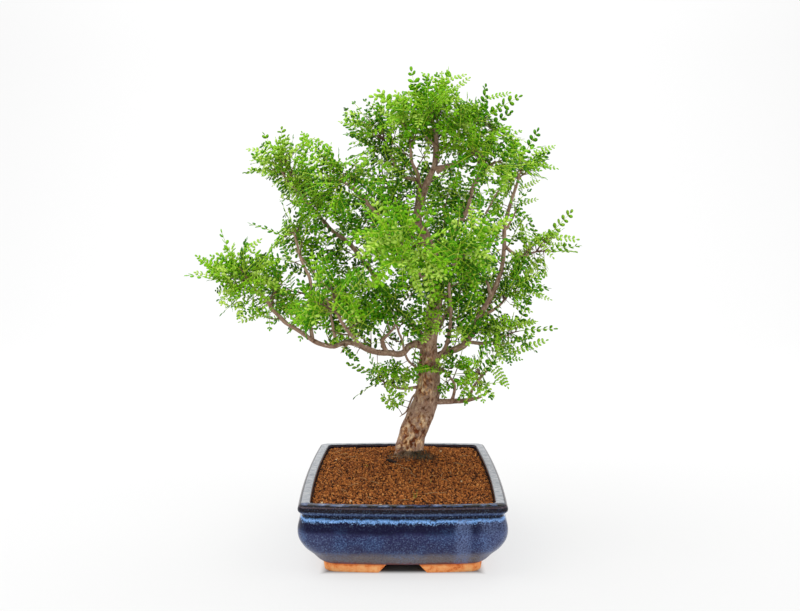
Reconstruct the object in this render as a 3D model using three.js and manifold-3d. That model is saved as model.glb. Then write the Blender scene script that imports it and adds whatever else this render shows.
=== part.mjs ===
// Zanthoxylum bonsai in a footed, glazed pot.
// Millimetres, +Z up. The origin is on the surface that the pot stands on, under the middle of the
// whole plant. -Y is the side from which the tree is looked at.

import * as THREE from "three";
import { mergeVertices } from "three/addons/utils/BufferGeometryUtils.js";
import Module from "manifold-3d";

const wasm = await Module();
wasm.setup();

// Pot
const POT_WIDTH = 310;
const POT_LENGTH = 410;
const POT_HEIGHT = 112;
const SHORT_SIDE_BOW = 8;
const LONG_SIDE_BOW = 6;
const RIM_FLAT = 17;
const FOOT_HEIGHT = 13.5;
const FOOT_INSET = 34;
const FOOT_WALL = 16;
const BASE_THICKNESS = 11;
const SHORT_ARCH_HALF = 37;
const LONG_ARCH_HALF = 68;
const ARCH_SLOPE = 12;
const DRAIN_RADIUS = 12.5;
const DRAIN_SPACING = 190;
const CORNER_STEPS = 3;
const SIDE_STEPS = 3;

// Drainage screens
const SCREEN_SIZE = 46;
const SCREEN_THICKNESS = 1.2;
const SCREEN_CELLS = 2;
const SCREEN_BAR = 3;

// Soil
const SOIL_BELOW_RIM = 7;
const SOIL_MOUND = 18;
const SOIL_MOUND_RADIUS = 72;
const SOIL_RELIEF = 1.3;
const MOUND_RINGS = [0.88, 0.7, 0.52, 0.34, 0.18];

// Fits
const SEAT_GAP = 0.3;
const LEAF_CLEARANCE = 0.5;
const CUT_MARGIN = 1;

// Trunk
const TRUNK_FOOT = new THREE.Vector3(12, 90, 122);
const ROOT_DEPTH = 52;
const ROOT_RADIUS = 25;
const TRUNK_SIDES = 10;
const LIMB_SIDES = 6;
const TWIG_SIDES = 4;
const STOUT_LIMB_RADIUS = 4;

// Leaves
const LEAF_LENGTH = 62;
const LEAF_HALF_WIDTH = 11;
const LEAF_RIB = 0.8;
const LEAF_ARCH = 9;
const LEAF_LIFT = 0.12;
const LEAFLET_LIFT = 1.6;
const TURN_PER_LEAF = 137.5;

// Twigs
const TWIG_RADIUS = 1.8;
const TWIG_TIP_RADIUS = 1.1;
const TWIG_LIFT = 0.25;
const TWIG_KNEE = 0.45;
const NODE_HALF = 2;
const BUD_SPACING = 5;
const FOOT_SPACING = 11;
const SEAT_STEP = 0.3;
const SEAT_REACH = 24;

// Spread of the sprays in their clouds
const CROWN_MIDDLE = new THREE.Vector3(40, 40, 480);
const FOOT_SHARE = 0.25;
const TIP_SHARE = 0.5;
const FAN_LEAN = 58;
const FAN_LEAN_SPREAD = 18;
const FAN_TURN_SPREAD = 0.5;
const DRAW_SEED = 20617;

// Walls of the pot: how far each level of the outline lies inside the rim's outline, its height
// and its corner radius. The feet and the base come first, then the bulge, the groove and the rim.
const OUTER_LEVELS = [
  [FOOT_INSET + 2, 0, 16],
  [FOOT_INSET, FOOT_HEIGHT, 18],
  [30, 15.5, 22],
  [18, 28.5, 28],
  [7, 41, 30],
  [-0.5, 56, 30],
  [-2, 69, 28],
  [0.5, 83, 24],
  [5, 92.5, 16],
  [6.5, 94.5, 13],
  [3.5, 97.5, 12],
  [-0.5, 101.5, 12],
  [-0.5, 107, 12],
  [3, 111, 10],
  [7, POT_HEIGHT, 8],
];

const FLOOR_HEIGHT = FOOT_HEIGHT + BASE_THICKNESS;

const INNER_LEVELS = [
  [46, FLOOR_HEIGHT, 12],
  [31, 36, 16],
  [20, 48, 18],
  [15, 68, 16],
  [RIM_FLAT, 98, 8],
  [RIM_FLAT, POT_HEIGHT + CUT_MARGIN, 8],
];

// Finishes
const finish = (color, roughness, metalness = 0) =>
  new THREE.MeshStandardMaterial({ color, roughness, metalness });

const GLAZE = finish(0x26345c, 0.22);
const MESH_PLASTIC = finish(0x1d1f1e, 0.7);
const SOIL = finish(0x7a4a2b, 0.95);
const BARK = finish(0x8a705c, 0.85);
const LEAF = finish(0x3f8a22, 0.5);
const YOUNG_LEAF = finish(0x86b830, 0.5);

// A seeded 32-bit generator of even draws between 0 and 1.
function drawsFrom(seed) {
  let state = seed >>> 0;
  return () => {
    state = (state + 0x6d2b79f5) >>> 0;
    let mixed = Math.imul(state ^ (state >>> 15), state | 1);
    mixed ^= mixed + Math.imul(mixed ^ (mixed >>> 7), mixed | 61);
    return ((mixed ^ (mixed >>> 14)) >>> 0) / 4294967296;
  };
}

// Solids and meshes

function geometryOf(points, faces) {
  const geometry = new THREE.BufferGeometry();
  const positions = points.flatMap((point) => [point.x, point.y, point.z]);
  geometry.setAttribute("position", new THREE.Float32BufferAttribute(positions, 3));
  geometry.setIndex(faces.flat());
  return geometry;
}

function solidOf(geometry) {
  const bare = geometry.clone();
  bare.deleteAttribute("normal");
  bare.deleteAttribute("uv");
  const merged = mergeVertices(bare, 1e-4);
  return new wasm.Manifold(
    new wasm.Mesh({
      numProp: 3,
      vertProperties: new Float32Array(merged.attributes.position.array),
      triVerts: new Uint32Array(merged.index.array),
    })
  );
}

function meshOf(name, solid, material) {
  const shape = solid.getMesh();
  const geometry = new THREE.BufferGeometry();
  geometry.setAttribute("position", new THREE.BufferAttribute(shape.vertProperties, 3));
  geometry.setIndex(new THREE.BufferAttribute(shape.triVerts, 1));
  const mesh = new THREE.Mesh(geometry, material);
  mesh.name = name;
  return mesh;
}

function boxAt(width, depth, height, x, y, z) {
  return solidOf(new THREE.BoxGeometry(width, depth, height).translate(x, y, z));
}

// A closed skin over rings that have the same number of points, counted from the lowest ring up,
// each ring going round counter-clockwise as seen against its own direction of travel.
function skinOver(rings) {
  const count = rings[0].length;
  const last = (rings.length - 1) * count;
  const faces = [];
  for (let ring = 0; ring + 1 < rings.length; ring += 1) {
    for (let step = 0; step < count; step += 1) {
      const next = (step + 1) % count;
      const a = ring * count + step;
      const b = ring * count + next;
      faces.push([a, b, b + count], [a, b + count, a + count]);
    }
  }
  for (let step = 1; step + 1 < count; step += 1) {
    faces.push([0, step + 1, step], [last, last + step, last + step + 1]);
  }
  return geometryOf(rings.flat(), faces);
}

// Pot

// One level of the pot: a rectangle with round corners, whose sides bow outwards.
function potRing(inset, height, radius) {
  const halfX = POT_WIDTH / 2 - inset;
  const halfY = POT_LENGTH / 2 - inset;
  const corners = [
    [halfX - radius, halfY - radius, 0],
    [radius - halfX, halfY - radius, 90],
    [radius - halfX, radius - halfY, 180],
    [halfX - radius, radius - halfY, 270],
  ];
  const flat = [];
  corners.forEach(([x, y, start], index) => {
    for (let step = 0; step <= CORNER_STEPS; step += 1) {
      const angle = THREE.MathUtils.degToRad(start + (90 * step) / CORNER_STEPS);
      flat.push(new THREE.Vector2(x + radius * Math.cos(angle), y + radius * Math.sin(angle)));
    }
    const [nextX, nextY, nextStart] = corners[(index + 1) % corners.length];
    const turn = THREE.MathUtils.degToRad(nextStart);
    const from = flat[flat.length - 1];
    const to = new THREE.Vector2(nextX + radius * Math.cos(turn), nextY + radius * Math.sin(turn));
    for (let step = 1; step < SIDE_STEPS; step += 1) {
      flat.push(from.clone().lerp(to, step / SIDE_STEPS));
    }
  });
  return flat.map(({ x, y }) => {
    const bowX = (LONG_SIDE_BOW * x * (1 - (y / halfY) ** 2)) / halfX;
    const bowY = (SHORT_SIDE_BOW * y * (1 - (x / halfX) ** 2)) / halfY;
    return new THREE.Vector3(x + bowX, y + bowY, height);
  });
}

function potLevels(levels) {
  return solidOf(skinOver(levels.map(([inset, height, radius]) => potRing(inset, height, radius))));
}

// The opening between two feet: a trapezoid under the base, wider at the surface.
function archThrough(halfWidth, reach, turn) {
  const flare = (CUT_MARGIN * ARCH_SLOPE) / FOOT_HEIGHT;
  const outline = new THREE.Shape([
    new THREE.Vector2(-halfWidth - flare, -CUT_MARGIN),
    new THREE.Vector2(halfWidth + flare, -CUT_MARGIN),
    new THREE.Vector2(halfWidth - ARCH_SLOPE, FOOT_HEIGHT),
    new THREE.Vector2(ARCH_SLOPE - halfWidth, FOOT_HEIGHT),
  ]);
  const prism = new THREE.ExtrudeGeometry(outline, { depth: 2 * reach, bevelEnabled: false });
  prism.translate(0, 0, -reach).rotateX(Math.PI / 2).rotateZ(turn);
  return solidOf(prism);
}

function drainHole(side) {
  const hole = new THREE.CylinderGeometry(DRAIN_RADIUS, DRAIN_RADIUS, 2 * FLOOR_HEIGHT, 12);
  hole.rotateX(Math.PI / 2).translate(0, (side * DRAIN_SPACING) / 2, FLOOR_HEIGHT);
  return solidOf(hole);
}

function makePot() {
  const underside = potLevels([
    [FOOT_INSET + FOOT_WALL + CUT_MARGIN, -CUT_MARGIN, 10],
    [FOOT_INSET + FOOT_WALL, FOOT_HEIGHT, 10],
  ]);
  const cuts = [
    potLevels(INNER_LEVELS),
    underside,
    archThrough(SHORT_ARCH_HALF, POT_LENGTH, 0),
    archThrough(LONG_ARCH_HALF, POT_WIDTH, Math.PI / 2),
    drainHole(-1),
    drainHole(1),
  ];
  return cuts.reduce((pot, cut) => pot.subtract(cut), potLevels(OUTER_LEVELS));
}

// Drainage screen: a square plastic net lying on the floor of the pot over one hole.
function makeScreen(side) {
  const pitch = (SCREEN_SIZE - SCREEN_BAR) / SCREEN_CELLS;
  const middle = (side * DRAIN_SPACING) / 2;
  const height = FLOOR_HEIGHT + SEAT_GAP + SCREEN_THICKNESS / 2;
  const bars = [];
  for (let index = 0; index <= SCREEN_CELLS; index += 1) {
    const offset = index * pitch - (SCREEN_SIZE - SCREEN_BAR) / 2;
    bars.push(boxAt(SCREEN_SIZE, SCREEN_BAR, SCREEN_THICKNESS, 0, middle + offset, height));
    bars.push(boxAt(SCREEN_BAR, SCREEN_SIZE, SCREEN_THICKNESS, offset, middle, height));
  }
  return wasm.Manifold.union(bars);
}

// Tubes

// Any direction square to the given one.
function squareTo(direction) {
  const helper = Math.abs(direction.z) < 0.9 ? new THREE.Vector3(0, 0, 1) : new THREE.Vector3(1, 0, 0);
  return new THREE.Vector3().crossVectors(helper, direction).normalize();
}

// A tapering limb with flat ends through places [x, y, z, radius]. Each ring stands square to the
// mean of the two stretches that meet there, and carries the ring before it along without a twist.
function limbThrough(places, sides) {
  const points = places.map(([x, y, z]) => new THREE.Vector3(x, y, z));
  const stretches = points.slice(1).map((point, index) => point.clone().sub(points[index]).normalize());
  let across = squareTo(stretches[0]);
  const rings = points.map((point, index) => {
    const before = stretches[Math.max(index - 1, 0)];
    const after = stretches[Math.min(index, stretches.length - 1)];
    const along = before.clone().add(after).normalize();
    across = across.clone().addScaledVector(along, -across.dot(along)).normalize();
    const up = new THREE.Vector3().crossVectors(along, across);
    const radius = places[index][3];
    return Array.from({ length: sides }, (_, side) => {
      const angle = (2 * Math.PI * side) / sides;
      return point
        .clone()
        .addScaledVector(across, radius * Math.cos(angle))
        .addScaledVector(up, radius * Math.sin(angle));
    });
  });
  return solidOf(skinOver(rings));
}

// Wood. Every limb is a list of places [x, y, z, radius], from where it leaves its parent outwards.

const TRUNK = [
  [14, 90, 134, 25],
  [17, 90, 149, 24],
  [26, 88, 180, 23.5],
  [43, 84, 232, 21],
  [47, 80, 278, 19.5],
  [46, 76, 307, 15],
  [53, 68, 361, 13.5],
  [58, 60, 405, 12.5],
  [58, 52, 449, 11.5],
  [49, 45, 487, 10],
  [33, 40, 518, 8.5],
  [24, 36, 541, 7],
  [28, 33, 560, 6.2],
  [35, 30, 580, 5.8],
  [43, 26, 601, 5.4],
  [51, 23, 618, 5],
  [56, 17, 652, 4],
  [54, 10, 684, 3],
  [51, 8, 697, 2.4],
];

const LIMBS = {
  lowLeft: [
    [33, 76, 318, 7],
    [15, 72, 317, 5.6],
    [1, 64, 303, 5.4],
    [-27, 50, 305, 5.2],
    [-57, 35, 312, 4.4],
    [-93, 18, 328, 4.2],
    [-117, 5, 322, 4],
    [-146, -8, 332, 3.8],
    [-170, -18, 352, 3.5],
    [-201, -30, 374, 3.3],
    [-221, -40, 403, 3],
    [-245, -52, 431, 2.4],
  ],
  lowLeftRiser: [
    [-150, -10, 334, 3.2],
    [-156, -4, 385, 2.9],
    [-153, -8, 432, 2.7],
    [-171, 10, 473, 2.3],
    [-185, 30, 518, 1.9],
  ],
  lowLeftFork: [
    [-40, 44, 307, 3.6],
    [-66, 4, 324, 3],
    [-86, -52, 352, 2.6],
    [-104, -104, 392, 2.1],
  ],
  crookedStump: [
    [-27, 50, 305, 4],
    [-35, 48, 328, 3.6],
    [-28, 44, 336, 2.4],
    [-14, 40, 352, 2],
    [-9, 36, 388, 1.8],
  ],
  upperLeft: [
    [42, 76, 322, 5.5],
    [12, 80, 360, 4.6],
    [-18, 84, 390, 4.4],
    [-56, 90, 446, 4],
    [-96, 96, 495, 3.7],
    [-125, 99, 518, 3.4],
    [-158, 104, 554, 3],
    [-185, 108, 586, 2.7],
    [-201, 110, 602, 2.4],
    [-216, 113, 626, 2],
  ],
  crown: [
    [30, 38, 530, 6],
    [-4, 25, 514, 4.4],
    [-54, -5, 557, 3.5],
    [-70, -15, 576, 3],
    [-98, -30, 597, 2.2],
  ],
  crownBack: [
    [2, 28, 517, 3.6],
    [-6, 38, 550, 3],
    [-18, 50, 582, 2.6],
    [-34, 62, 612, 2.1],
  ],
  leftLeader: [
    [25, 36, 545, 4.6],
    [25, 22, 609, 3.4],
    [16, 15, 629, 2.9],
    [12, 8, 662, 2.2],
  ],
  farLeftLeader: [
    [25, 24, 600, 3.2],
    [-5, 26, 611, 2.8],
    [-18, 32, 638, 2.5],
    [-30, 40, 666, 2],
  ],
  rightFork: [
    [52, 22, 620, 3.6],
    [85, 5, 626, 2.8],
    [112, -14, 637, 2.1],
  ],
  darkBranch: [
    [57, 18, 640, 3.2],
    [73, 28, 657, 2.8],
    [94, 38, 675, 2.5],
    [118, 50, 688, 2],
  ],
  rightMain: [
    [44, 80, 282, 8],
    [72, 82, 300, 6.4],
    [109, 87, 315, 5.8],
    [134, 96, 360, 5],
    [163, 108, 411, 4.5],
    [180, 118, 455, 4],
    [183, 126, 491, 3.7],
    [185, 134, 532, 3.3],
    [204, 146, 590, 2.8],
    [215, 156, 625, 2.2],
  ],
  rightFrondFork: [
    [183, 126, 488, 3],
    [214, 142, 470, 2.5],
    [246, 160, 478, 2],
  ],
  innerFork: [
    [158, 106, 402, 3],
    [145, 96, 436, 2.4],
    [124, 84, 470, 2],
  ],
  rightLowTwig: [
    [138, 97, 366, 3],
    [170, 118, 378, 2.5],
    [192, 132, 402, 2],
  ],
  rightLowestTwig: [
    [112, 88, 320, 3.2],
    [150, 100, 317, 2.6],
    [188, 110, 330, 2],
  ],
  innerRiser: [
    [48, 79, 280, 4.6],
    [72, 74, 306, 3.6],
    [82, 60, 348, 3.2],
    [83, 40, 385, 2.9],
    [78, 10, 420, 2.4],
    [84, -30, 452, 2],
  ],
  upperRight: [
    [57, 50, 455, 5],
    [84, 36, 509, 3.9],
    [108, 20, 551, 3.3],
    [115, 8, 578, 2.9],
    [132, -8, 616, 2.1],
  ],
  lowRight: [
    [44, 84, 214, 5.6],
    [87, 72, 217, 4.7],
    [108, 62, 220, 3.9],
    [138, 50, 228, 2.6],
  ],
  lowRightRiser: [
    [87, 72, 217, 3],
    [92, 68, 243, 2.6],
    [76, 56, 272, 2],
  ],
  lowRightOuter: [
    [116, 58, 222, 2.8],
    [124, 50, 246, 2.4],
    [146, 40, 276, 2],
  ],
  lowLeftSmall: [
    [34, 84, 240, 3],
    [-8, 74, 240, 2.3],
    [-30, 66, 250, 1.9],
  ],
  darkTwig: [
    [34, 88, 226, 2.6],
    [10, 92, 208, 1.9],
    [-8, 94, 190, 1.5],
  ],
  thinShoot: [
    [34, 80, 268, 2.8],
    [10, 66, 292, 2.1],
    [-3, 54, 332, 1.9],
    [-20, 30, 384, 1.7],
  ],
  front: [
    [58, 58, 420, 6],
    [40, 0, 436, 4.6],
    [20, -70, 456, 3.8],
    [8, -130, 470, 3],
    [8, -180, 488, 2.2],
  ],
  frontRight: [
    [37, -10, 438, 3.6],
    [68, -70, 452, 3],
    [92, -118, 478, 2.2],
  ],
  back: [
    [57, 50, 458, 6],
    [67, 120, 496, 4.6],
    [81, 176, 536, 3.6],
    [76, 214, 572, 2.4],
  ],
  backLeft: [
    [66, 112, 492, 3.8],
    [5, 154, 510, 3],
    [-48, 182, 524, 2.2],
  ],
  backRight: [
    [80, 172, 533, 3],
    [127, 200, 556, 2.2],
  ],
  lowBack: [
    [47, 72, 320, 5.4],
    [77, 130, 362, 4.2],
    [99, 180, 388, 3.2],
    [112, 214, 408, 2.4],
  ],
};

// Snags: short bare ends of branches.
const SNAGS = [
  [[-92, 18, 328, 2.6], [-98, 12, 318, 2], [-104, 8, 310, 1.6]],
  [[56, 16, 655, 3], [46, 10, 664, 2.4], [36, 4, 674, 1.8]],
  [[46, 44, 488, 7], [52, 34, 490, 5.5], [53, 30, 490, 4]],
];

// Roots that run into the soil at the foot of the trunk.
const SURFACE_ROOTS = [
  [[10, 84, 140, 9], [-6, 72, 128, 7], [-14, 66, 124.5, 5]],
  [[30, 88, 140, 8], [42, 82, 128, 6], [50, 78, 123.5, 4]],
];

// Joints along a leaf where its leaflets meet the rib, and the leaves of a spray: how far up the
// twig each stands, how far it leans out, in degrees, and its size. A leaf that finds no room tries
// the turns and leans listed here, in degrees, and then a smaller size.
const LEAF_ROOT = 0.07;
const LEAF_JOINTS = [0.2, 0.42, 0.64, 0.84];
const LEAF_STATIONS = [
  { share: 0.4, lean: 60, size: 0.92 },
  { share: 0.72, lean: 52, size: 1 },
  { share: 1, lean: 14, size: 1 },
];
const LEAF_TURNS = [0, 24, -24, 48, -48, 76, -76, 108, -108, 150];
const LEAF_LEANS = [0, 14, -14];
const LEAF_SIZES = [1, 0.8];

// Leaflets: where on its stretch of the rib one starts and is widest, its width there as a share of
// the leaf's, and the run of the end leaflet's shoulder and tip.
const LEAFLET = { start: 0.1, widest: 0.72, shoulder: 0.66, width: 0.88 };
const END_LEAFLET = { shoulder: 0.95, width: 0.45, tip: 1.06 };

// How a twig that would touch something bends away from it: millimetres, and degrees round it.
const TWIG_BENDS = [0, 10, 20, 30, 40];
const TWIG_TURNS = [0, 60, 120, 180, 240, 300];
const TWIG_CHECKS = [0.12, 0.4, 0.7, 1];

// Foliage. Each cloud has a middle, half sizes, the limbs that feed it, the number of sprays and
// whether its growth is young and pale. Its sprays spread from the side where the limb comes in.
const CLOUDS = [
  { middle: [-264, -46, 440], half: [48, 54, 42], limbs: ["lowLeft"], sprays: 3 },
  { middle: [-196, -10, 412], half: [60, 60, 44], limbs: ["lowLeft", "lowLeftRiser"], sprays: 2 },
  { middle: [-140, 16, 378], half: [60, 60, 40], limbs: ["lowLeft", "lowLeftRiser"], sprays: 2 },
  { middle: [-80, 14, 378], half: [56, 52, 40], limbs: ["lowLeft", "crookedStump"], sprays: 2 },
  { middle: [-114, -132, 414], half: [62, 66, 42], limbs: ["lowLeftFork"], sprays: 2 },
  { middle: [-204, 118, 622], half: [60, 64, 46], limbs: ["upperLeft"], sprays: 3, young: true },
  { middle: [-150, 108, 572], half: [60, 66, 48], limbs: ["upperLeft"], sprays: 2 },
  { middle: [-180, 36, 508], half: [60, 56, 46], limbs: ["lowLeftRiser"], sprays: 2 },
  { middle: [-96, -36, 600], half: [62, 66, 52], limbs: ["crown"], sprays: 2 },
  { middle: [-36, 56, 664], half: [66, 66, 54], limbs: ["crownBack", "farLeftLeader"], sprays: 2 },
  { middle: [28, -6, 700], half: [58, 64, 50], limbs: ["leftLeader", "trunk"], sprays: 3, young: true },
  { middle: [84, 22, 706], half: [58, 64, 50], limbs: ["trunk", "darkBranch"], sprays: 3, young: true },
  { middle: [134, 52, 686], half: [60, 66, 50], limbs: ["darkBranch"], sprays: 2 },
  { middle: [214, 160, 626], half: [58, 60, 46], limbs: ["rightMain"], sprays: 2 },
  { middle: [138, -24, 628], half: [62, 68, 52], limbs: ["rightFork", "upperRight"], sprays: 2 },
  { middle: [256, 168, 484], half: [54, 58, 42], limbs: ["rightFrondFork"], sprays: 3, young: true },
  { middle: [184, 130, 404], half: [62, 60, 42], limbs: ["rightLowTwig", "innerFork"], sprays: 2 },
  { middle: [182, 106, 338], half: [54, 54, 34], limbs: ["rightLowestTwig"], sprays: 2 },
  { middle: [124, 44, 266], half: [54, 54, 36], limbs: ["lowRightRiser", "lowRightOuter"], sprays: 2 },
  { middle: [-34, 62, 254], half: [32, 32, 22], limbs: ["lowLeftSmall"], sprays: 1 },
  { middle: [4, -200, 494], half: [72, 66, 54], limbs: ["front"], sprays: 3, young: true },
  { middle: [92, -122, 482], half: [64, 70, 52], limbs: ["frontRight", "innerRiser"], sprays: 2 },
  { middle: [76, 204, 574], half: [72, 58, 56], limbs: ["back", "backRight"], sprays: 2 },
  { middle: [-60, 194, 528], half: [66, 62, 54], limbs: ["backLeft"], sprays: 2 },
  { middle: [116, 206, 412], half: [64, 58, 50], limbs: ["lowBack"], sprays: 2 },
];

const vectorOf = ([x, y, z]) => new THREE.Vector3(x, y, z);

function routeOf(name) {
  return name === "trunk" ? TRUNK.slice(-4) : LIMBS[name];
}

// Places along the named limbs where a shoot could leave them.
function budsOn(names) {
  return names.flatMap((name) => {
    const route = routeOf(name);
    return route.slice(1).flatMap((end, index) => {
      const from = vectorOf(route[index]);
      const to = vectorOf(end);
      const count = Math.ceil(from.distanceTo(to) / BUD_SPACING);
      return Array.from({ length: count }, (_, step) => from.clone().lerp(to, (step + 1) / count));
    });
  });
}

// The bud nearest to a point, out of those that stand far enough from the feet of other shoots.
function nearestBud(buds, point, feet) {
  const free = buds.filter((bud) => feet.every((foot) => foot.distanceTo(bud) > FOOT_SPACING));
  return free.reduce((best, bud) => (bud.distanceTo(point) < best.distanceTo(point) ? bud : best));
}

// Where every spray leaves its limb, and where its twig ends.
function planSprays() {
  const draw = drawsFrom(DRAW_SEED);
  const feet = [];
  return CLOUDS.flatMap((cloud) => {
    const middle = vectorOf(cloud.middle);
    const half = vectorOf(cloud.half);
    const buds = budsOn(cloud.limbs);
    const outward = middle.clone().sub(CROWN_MIDDLE).setZ(0).normalize();
    const fromLimb = middle.clone().sub(nearestBud(buds, middle, [])).divideScalar(half.length());
    const axis = outward.clone().multiplyScalar(1.2).addScaledVector(fromLimb, 6);
    axis.z += 1;
    axis.normalize();
    const across = squareTo(axis);
    const over = new THREE.Vector3().crossVectors(axis, across);
    const phase = 2 * Math.PI * draw();
    return Array.from({ length: cloud.sprays }, (_, index) => {
      const turn = phase + (2 * Math.PI * index) / cloud.sprays + FAN_TURN_SPREAD * (draw() - 0.5);
      const leanBy = FAN_LEAN + FAN_LEAN_SPREAD * (draw() - 0.5);
      const lean = cloud.sprays === 1 ? 0 : THREE.MathUtils.degToRad(leanBy);
      const way = axis
        .clone()
        .multiplyScalar(Math.cos(lean))
        .addScaledVector(across, Math.sin(lean) * Math.cos(turn))
        .addScaledVector(over, Math.sin(lean) * Math.sin(turn));
      const reach = way.multiply(half);
      const foot = nearestBud(buds, middle.clone().addScaledVector(reach, FOOT_SHARE), feet);
      const tip = middle.clone().addScaledVector(reach, TIP_SHARE);
      feet.push(foot);
      return { cloud, foot, tip, outward, roll: 360 * draw() };
    });
  });
}

// The buried root ball end: a straight stub under the trunk, standing in its hole in the soil.
function rootStub(extra) {
  const { x, y, z } = TRUNK_FOOT;
  const foot = z - ROOT_DEPTH - extra;
  return [
    [x - 2, y, foot, ROOT_RADIUS - 4 + extra],
    [x, y, z - 12, ROOT_RADIUS + extra],
    [x + 2, y, z + 14, ROOT_RADIUS + extra],
  ];
}

function sidesOf([[, , , radius]]) {
  return radius > STOUT_LIMB_RADIUS ? LIMB_SIDES : TWIG_SIDES;
}

function makeWood() {
  const limbs = [
    limbThrough([...rootStub(0).slice(0, 2), ...TRUNK], TRUNK_SIDES),
    ...Object.values(LIMBS).map((route) => limbThrough(route, sidesOf(route))),
    ...[...SNAGS, ...SURFACE_ROOTS].map((route) => limbThrough(route, TWIG_SIDES)),
  ];
  return wasm.Manifold.union(limbs);
}

// Soil: granular ground that rises from the walls of the pot to the foot of the trunk.
function makeSoil() {
  const draw = drawsFrom(DRAW_SEED + 1);
  const top = POT_HEIGHT - SOIL_BELOW_RIM;
  const sides = [INNER_LEVELS[0], INNER_LEVELS[2], [RIM_FLAT, top, 8]].map(([inset, height, radius]) =>
    potRing(inset + SEAT_GAP, height + SEAT_GAP, radius)
  );
  const edge = sides[sides.length - 1];
  const crest = TRUNK_FOOT.clone().setZ(top);
  const mounds = MOUND_RINGS.map((share) =>
    edge.map((point) => {
      const place = crest.clone().lerp(point, share);
      const rise = SOIL_MOUND / (1 + (place.distanceTo(crest) / SOIL_MOUND_RADIUS) ** 2);
      place.z += rise + SOIL_RELIEF * (2 * draw() - 1);
      return place;
    })
  );
  const recesses = [-1, 1].map((side) =>
    boxAt(
      SCREEN_SIZE + 2 * SEAT_GAP,
      SCREEN_SIZE + 2 * SEAT_GAP,
      2 * (SCREEN_THICKNESS + 2 * SEAT_GAP),
      0,
      (side * DRAIN_SPACING) / 2,
      FLOOR_HEIGHT
    )
  );
  const hole = limbThrough(rootStub(SEAT_GAP), TRUNK_SIDES);
  const holes = [...recesses, hole, ...SURFACE_ROOTS.map(widened)];
  const ground = solidOf(skinOver([...sides, ...mounds]));
  return holes.reduce((soil, cut) => soil.subtract(cut), ground);
}

// The room that a surface root needs in the soil.
function widened(route) {
  return limbThrough(
    route.map(([x, y, z, radius]) => [x, y, z, radius + 2 * SEAT_GAP]),
    TWIG_SIDES
  );
}

// Leaves

// Points and faces that are put together piece by piece.
class Skin {
  points = [];
  faces = [];

  add(point) {
    this.points.push(point);
    return this.points.length - 1;
  }

  // The wall between two rings of the same size. Both go round counter-clockwise as seen from
  // the second. A side that bears a leaf stays open.
  wall(first, second, open = -1) {
    first.forEach((corner, index) => {
      if (index !== open) {
        const next = (index + 1) % first.length;
        this.faces.push([corner, first[next], second[next]], [corner, second[next], second[index]]);
      }
    });
  }

  // The faces between a hub and each two corners of a rim that follow one another.
  fan(hub, rim, turned) {
    for (let step = 0; step + 1 < rim.length; step += 1) {
      const [near, far] = turned ? [rim[step + 1], rim[step]] : [rim[step], rim[step + 1]];
      this.faces.push([hub, near, far]);
    }
  }

  // The flat end behind a ring of four.
  close([a, b, c, d]) {
    this.faces.push([a, c, b], [a, d, c]);
  }

  solid() {
    return solidOf(geometryOf(this.points, this.faces));
  }
}

// One compound leaf: three pairs of leaflets and an end leaflet, cut to the rib out of one blade
// that is thickest along the rib, dished, and arched down towards its end. The root is the ring of
// four that it grows from, or null for a leaf with an end of its own.
function addLeaf(skin, root, leaf, extra) {
  const side = new THREE.Vector3().crossVectors(leaf.along, leaf.facing).normalize();
  const face = new THREE.Vector3().crossVectors(side, leaf.along);
  const rib = LEAF_RIB + extra;
  const place = (run, out, rise) =>
    skin.add(
      leaf.base
        .clone()
        .addScaledVector(leaf.along, run * leaf.length)
        .addScaledVector(side, out)
        .addScaledVector(face, rise + LEAFLET_LIFT * Math.abs(out / LEAF_HALF_WIDTH) - LEAF_ARCH * run ** 2)
    );
  const ringAt = (run) => [place(run, -rib, 0), place(run, 0, rib), place(run, rib, 0), place(run, 0, -rib)];
  const rings = LEAF_JOINTS.map(ringAt);
  skin.wall(root ?? ownRoot(skin, ringAt), rings[0]);
  const tip = place(END_LEAFLET.tip + extra / leaf.length, 0, 0);
  rings.forEach((ring, index) => {
    const [, top, , underside] = ring;
    const next = rings[index + 1];
    for (const hand of [-1, 1]) {
      const notch = hand + 1;
      const rim = [ring[notch]];
      if (next) {
        const start = LEAF_JOINTS[index];
        const span = LEAF_JOINTS[index + 1] - start;
        const width = (index === 1 ? 1 : LEAFLET.width) * LEAF_HALF_WIDTH + extra;
        rim.push(place(start + LEAFLET.start * span, hand * LEAFLET.shoulder * width, 0));
        rim.push(place(start + LEAFLET.widest * span, hand * width, 0), next[notch]);
      } else {
        const width = END_LEAFLET.width * LEAF_HALF_WIDTH + extra;
        rim.push(place(END_LEAFLET.shoulder, hand * width, 0), tip);
      }
      skin.fan(top, next ? [...rim, next[1]] : rim, hand < 0);
      skin.fan(underside, next ? [...rim, next[3]] : rim, hand > 0);
    }
  });
}

// The closed root of a leaf that stands by itself.
function ownRoot(skin, ringAt) {
  const root = ringAt(LEAF_ROOT);
  skin.close(root);
  return root;
}

function probeOf(leaf) {
  const skin = new Skin();
  addLeaf(skin, null, leaf, LEAF_CLEARANCE);
  return skin.solid();
}

const boxOf = (solid) => {
  const { min, max } = solid.boundingBox();
  return new THREE.Box3(new THREE.Vector3(...min), new THREE.Vector3(...max));
};

// Whether a solid crosses none of the others.
function isClear(solid, others) {
  const box = boxOf(solid);
  return others.every((other) => !other.box.intersectsBox(box) || solid.intersect(other.solid).isEmpty());
}

// The first place along a way out of the wood where a twig's end stands just clear of it.
function seatOf(foot, way, wood) {
  for (let out = 0; out < SEAT_REACH; out += SEAT_STEP) {
    const from = foot.clone().addScaledVector(way, out);
    const stub = tubeAlong([from, from.clone().addScaledVector(way, 2)], SEAT_GAP);
    if (isClear(stub, [wood])) {
      return from;
    }
  }
  return null;
}

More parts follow.
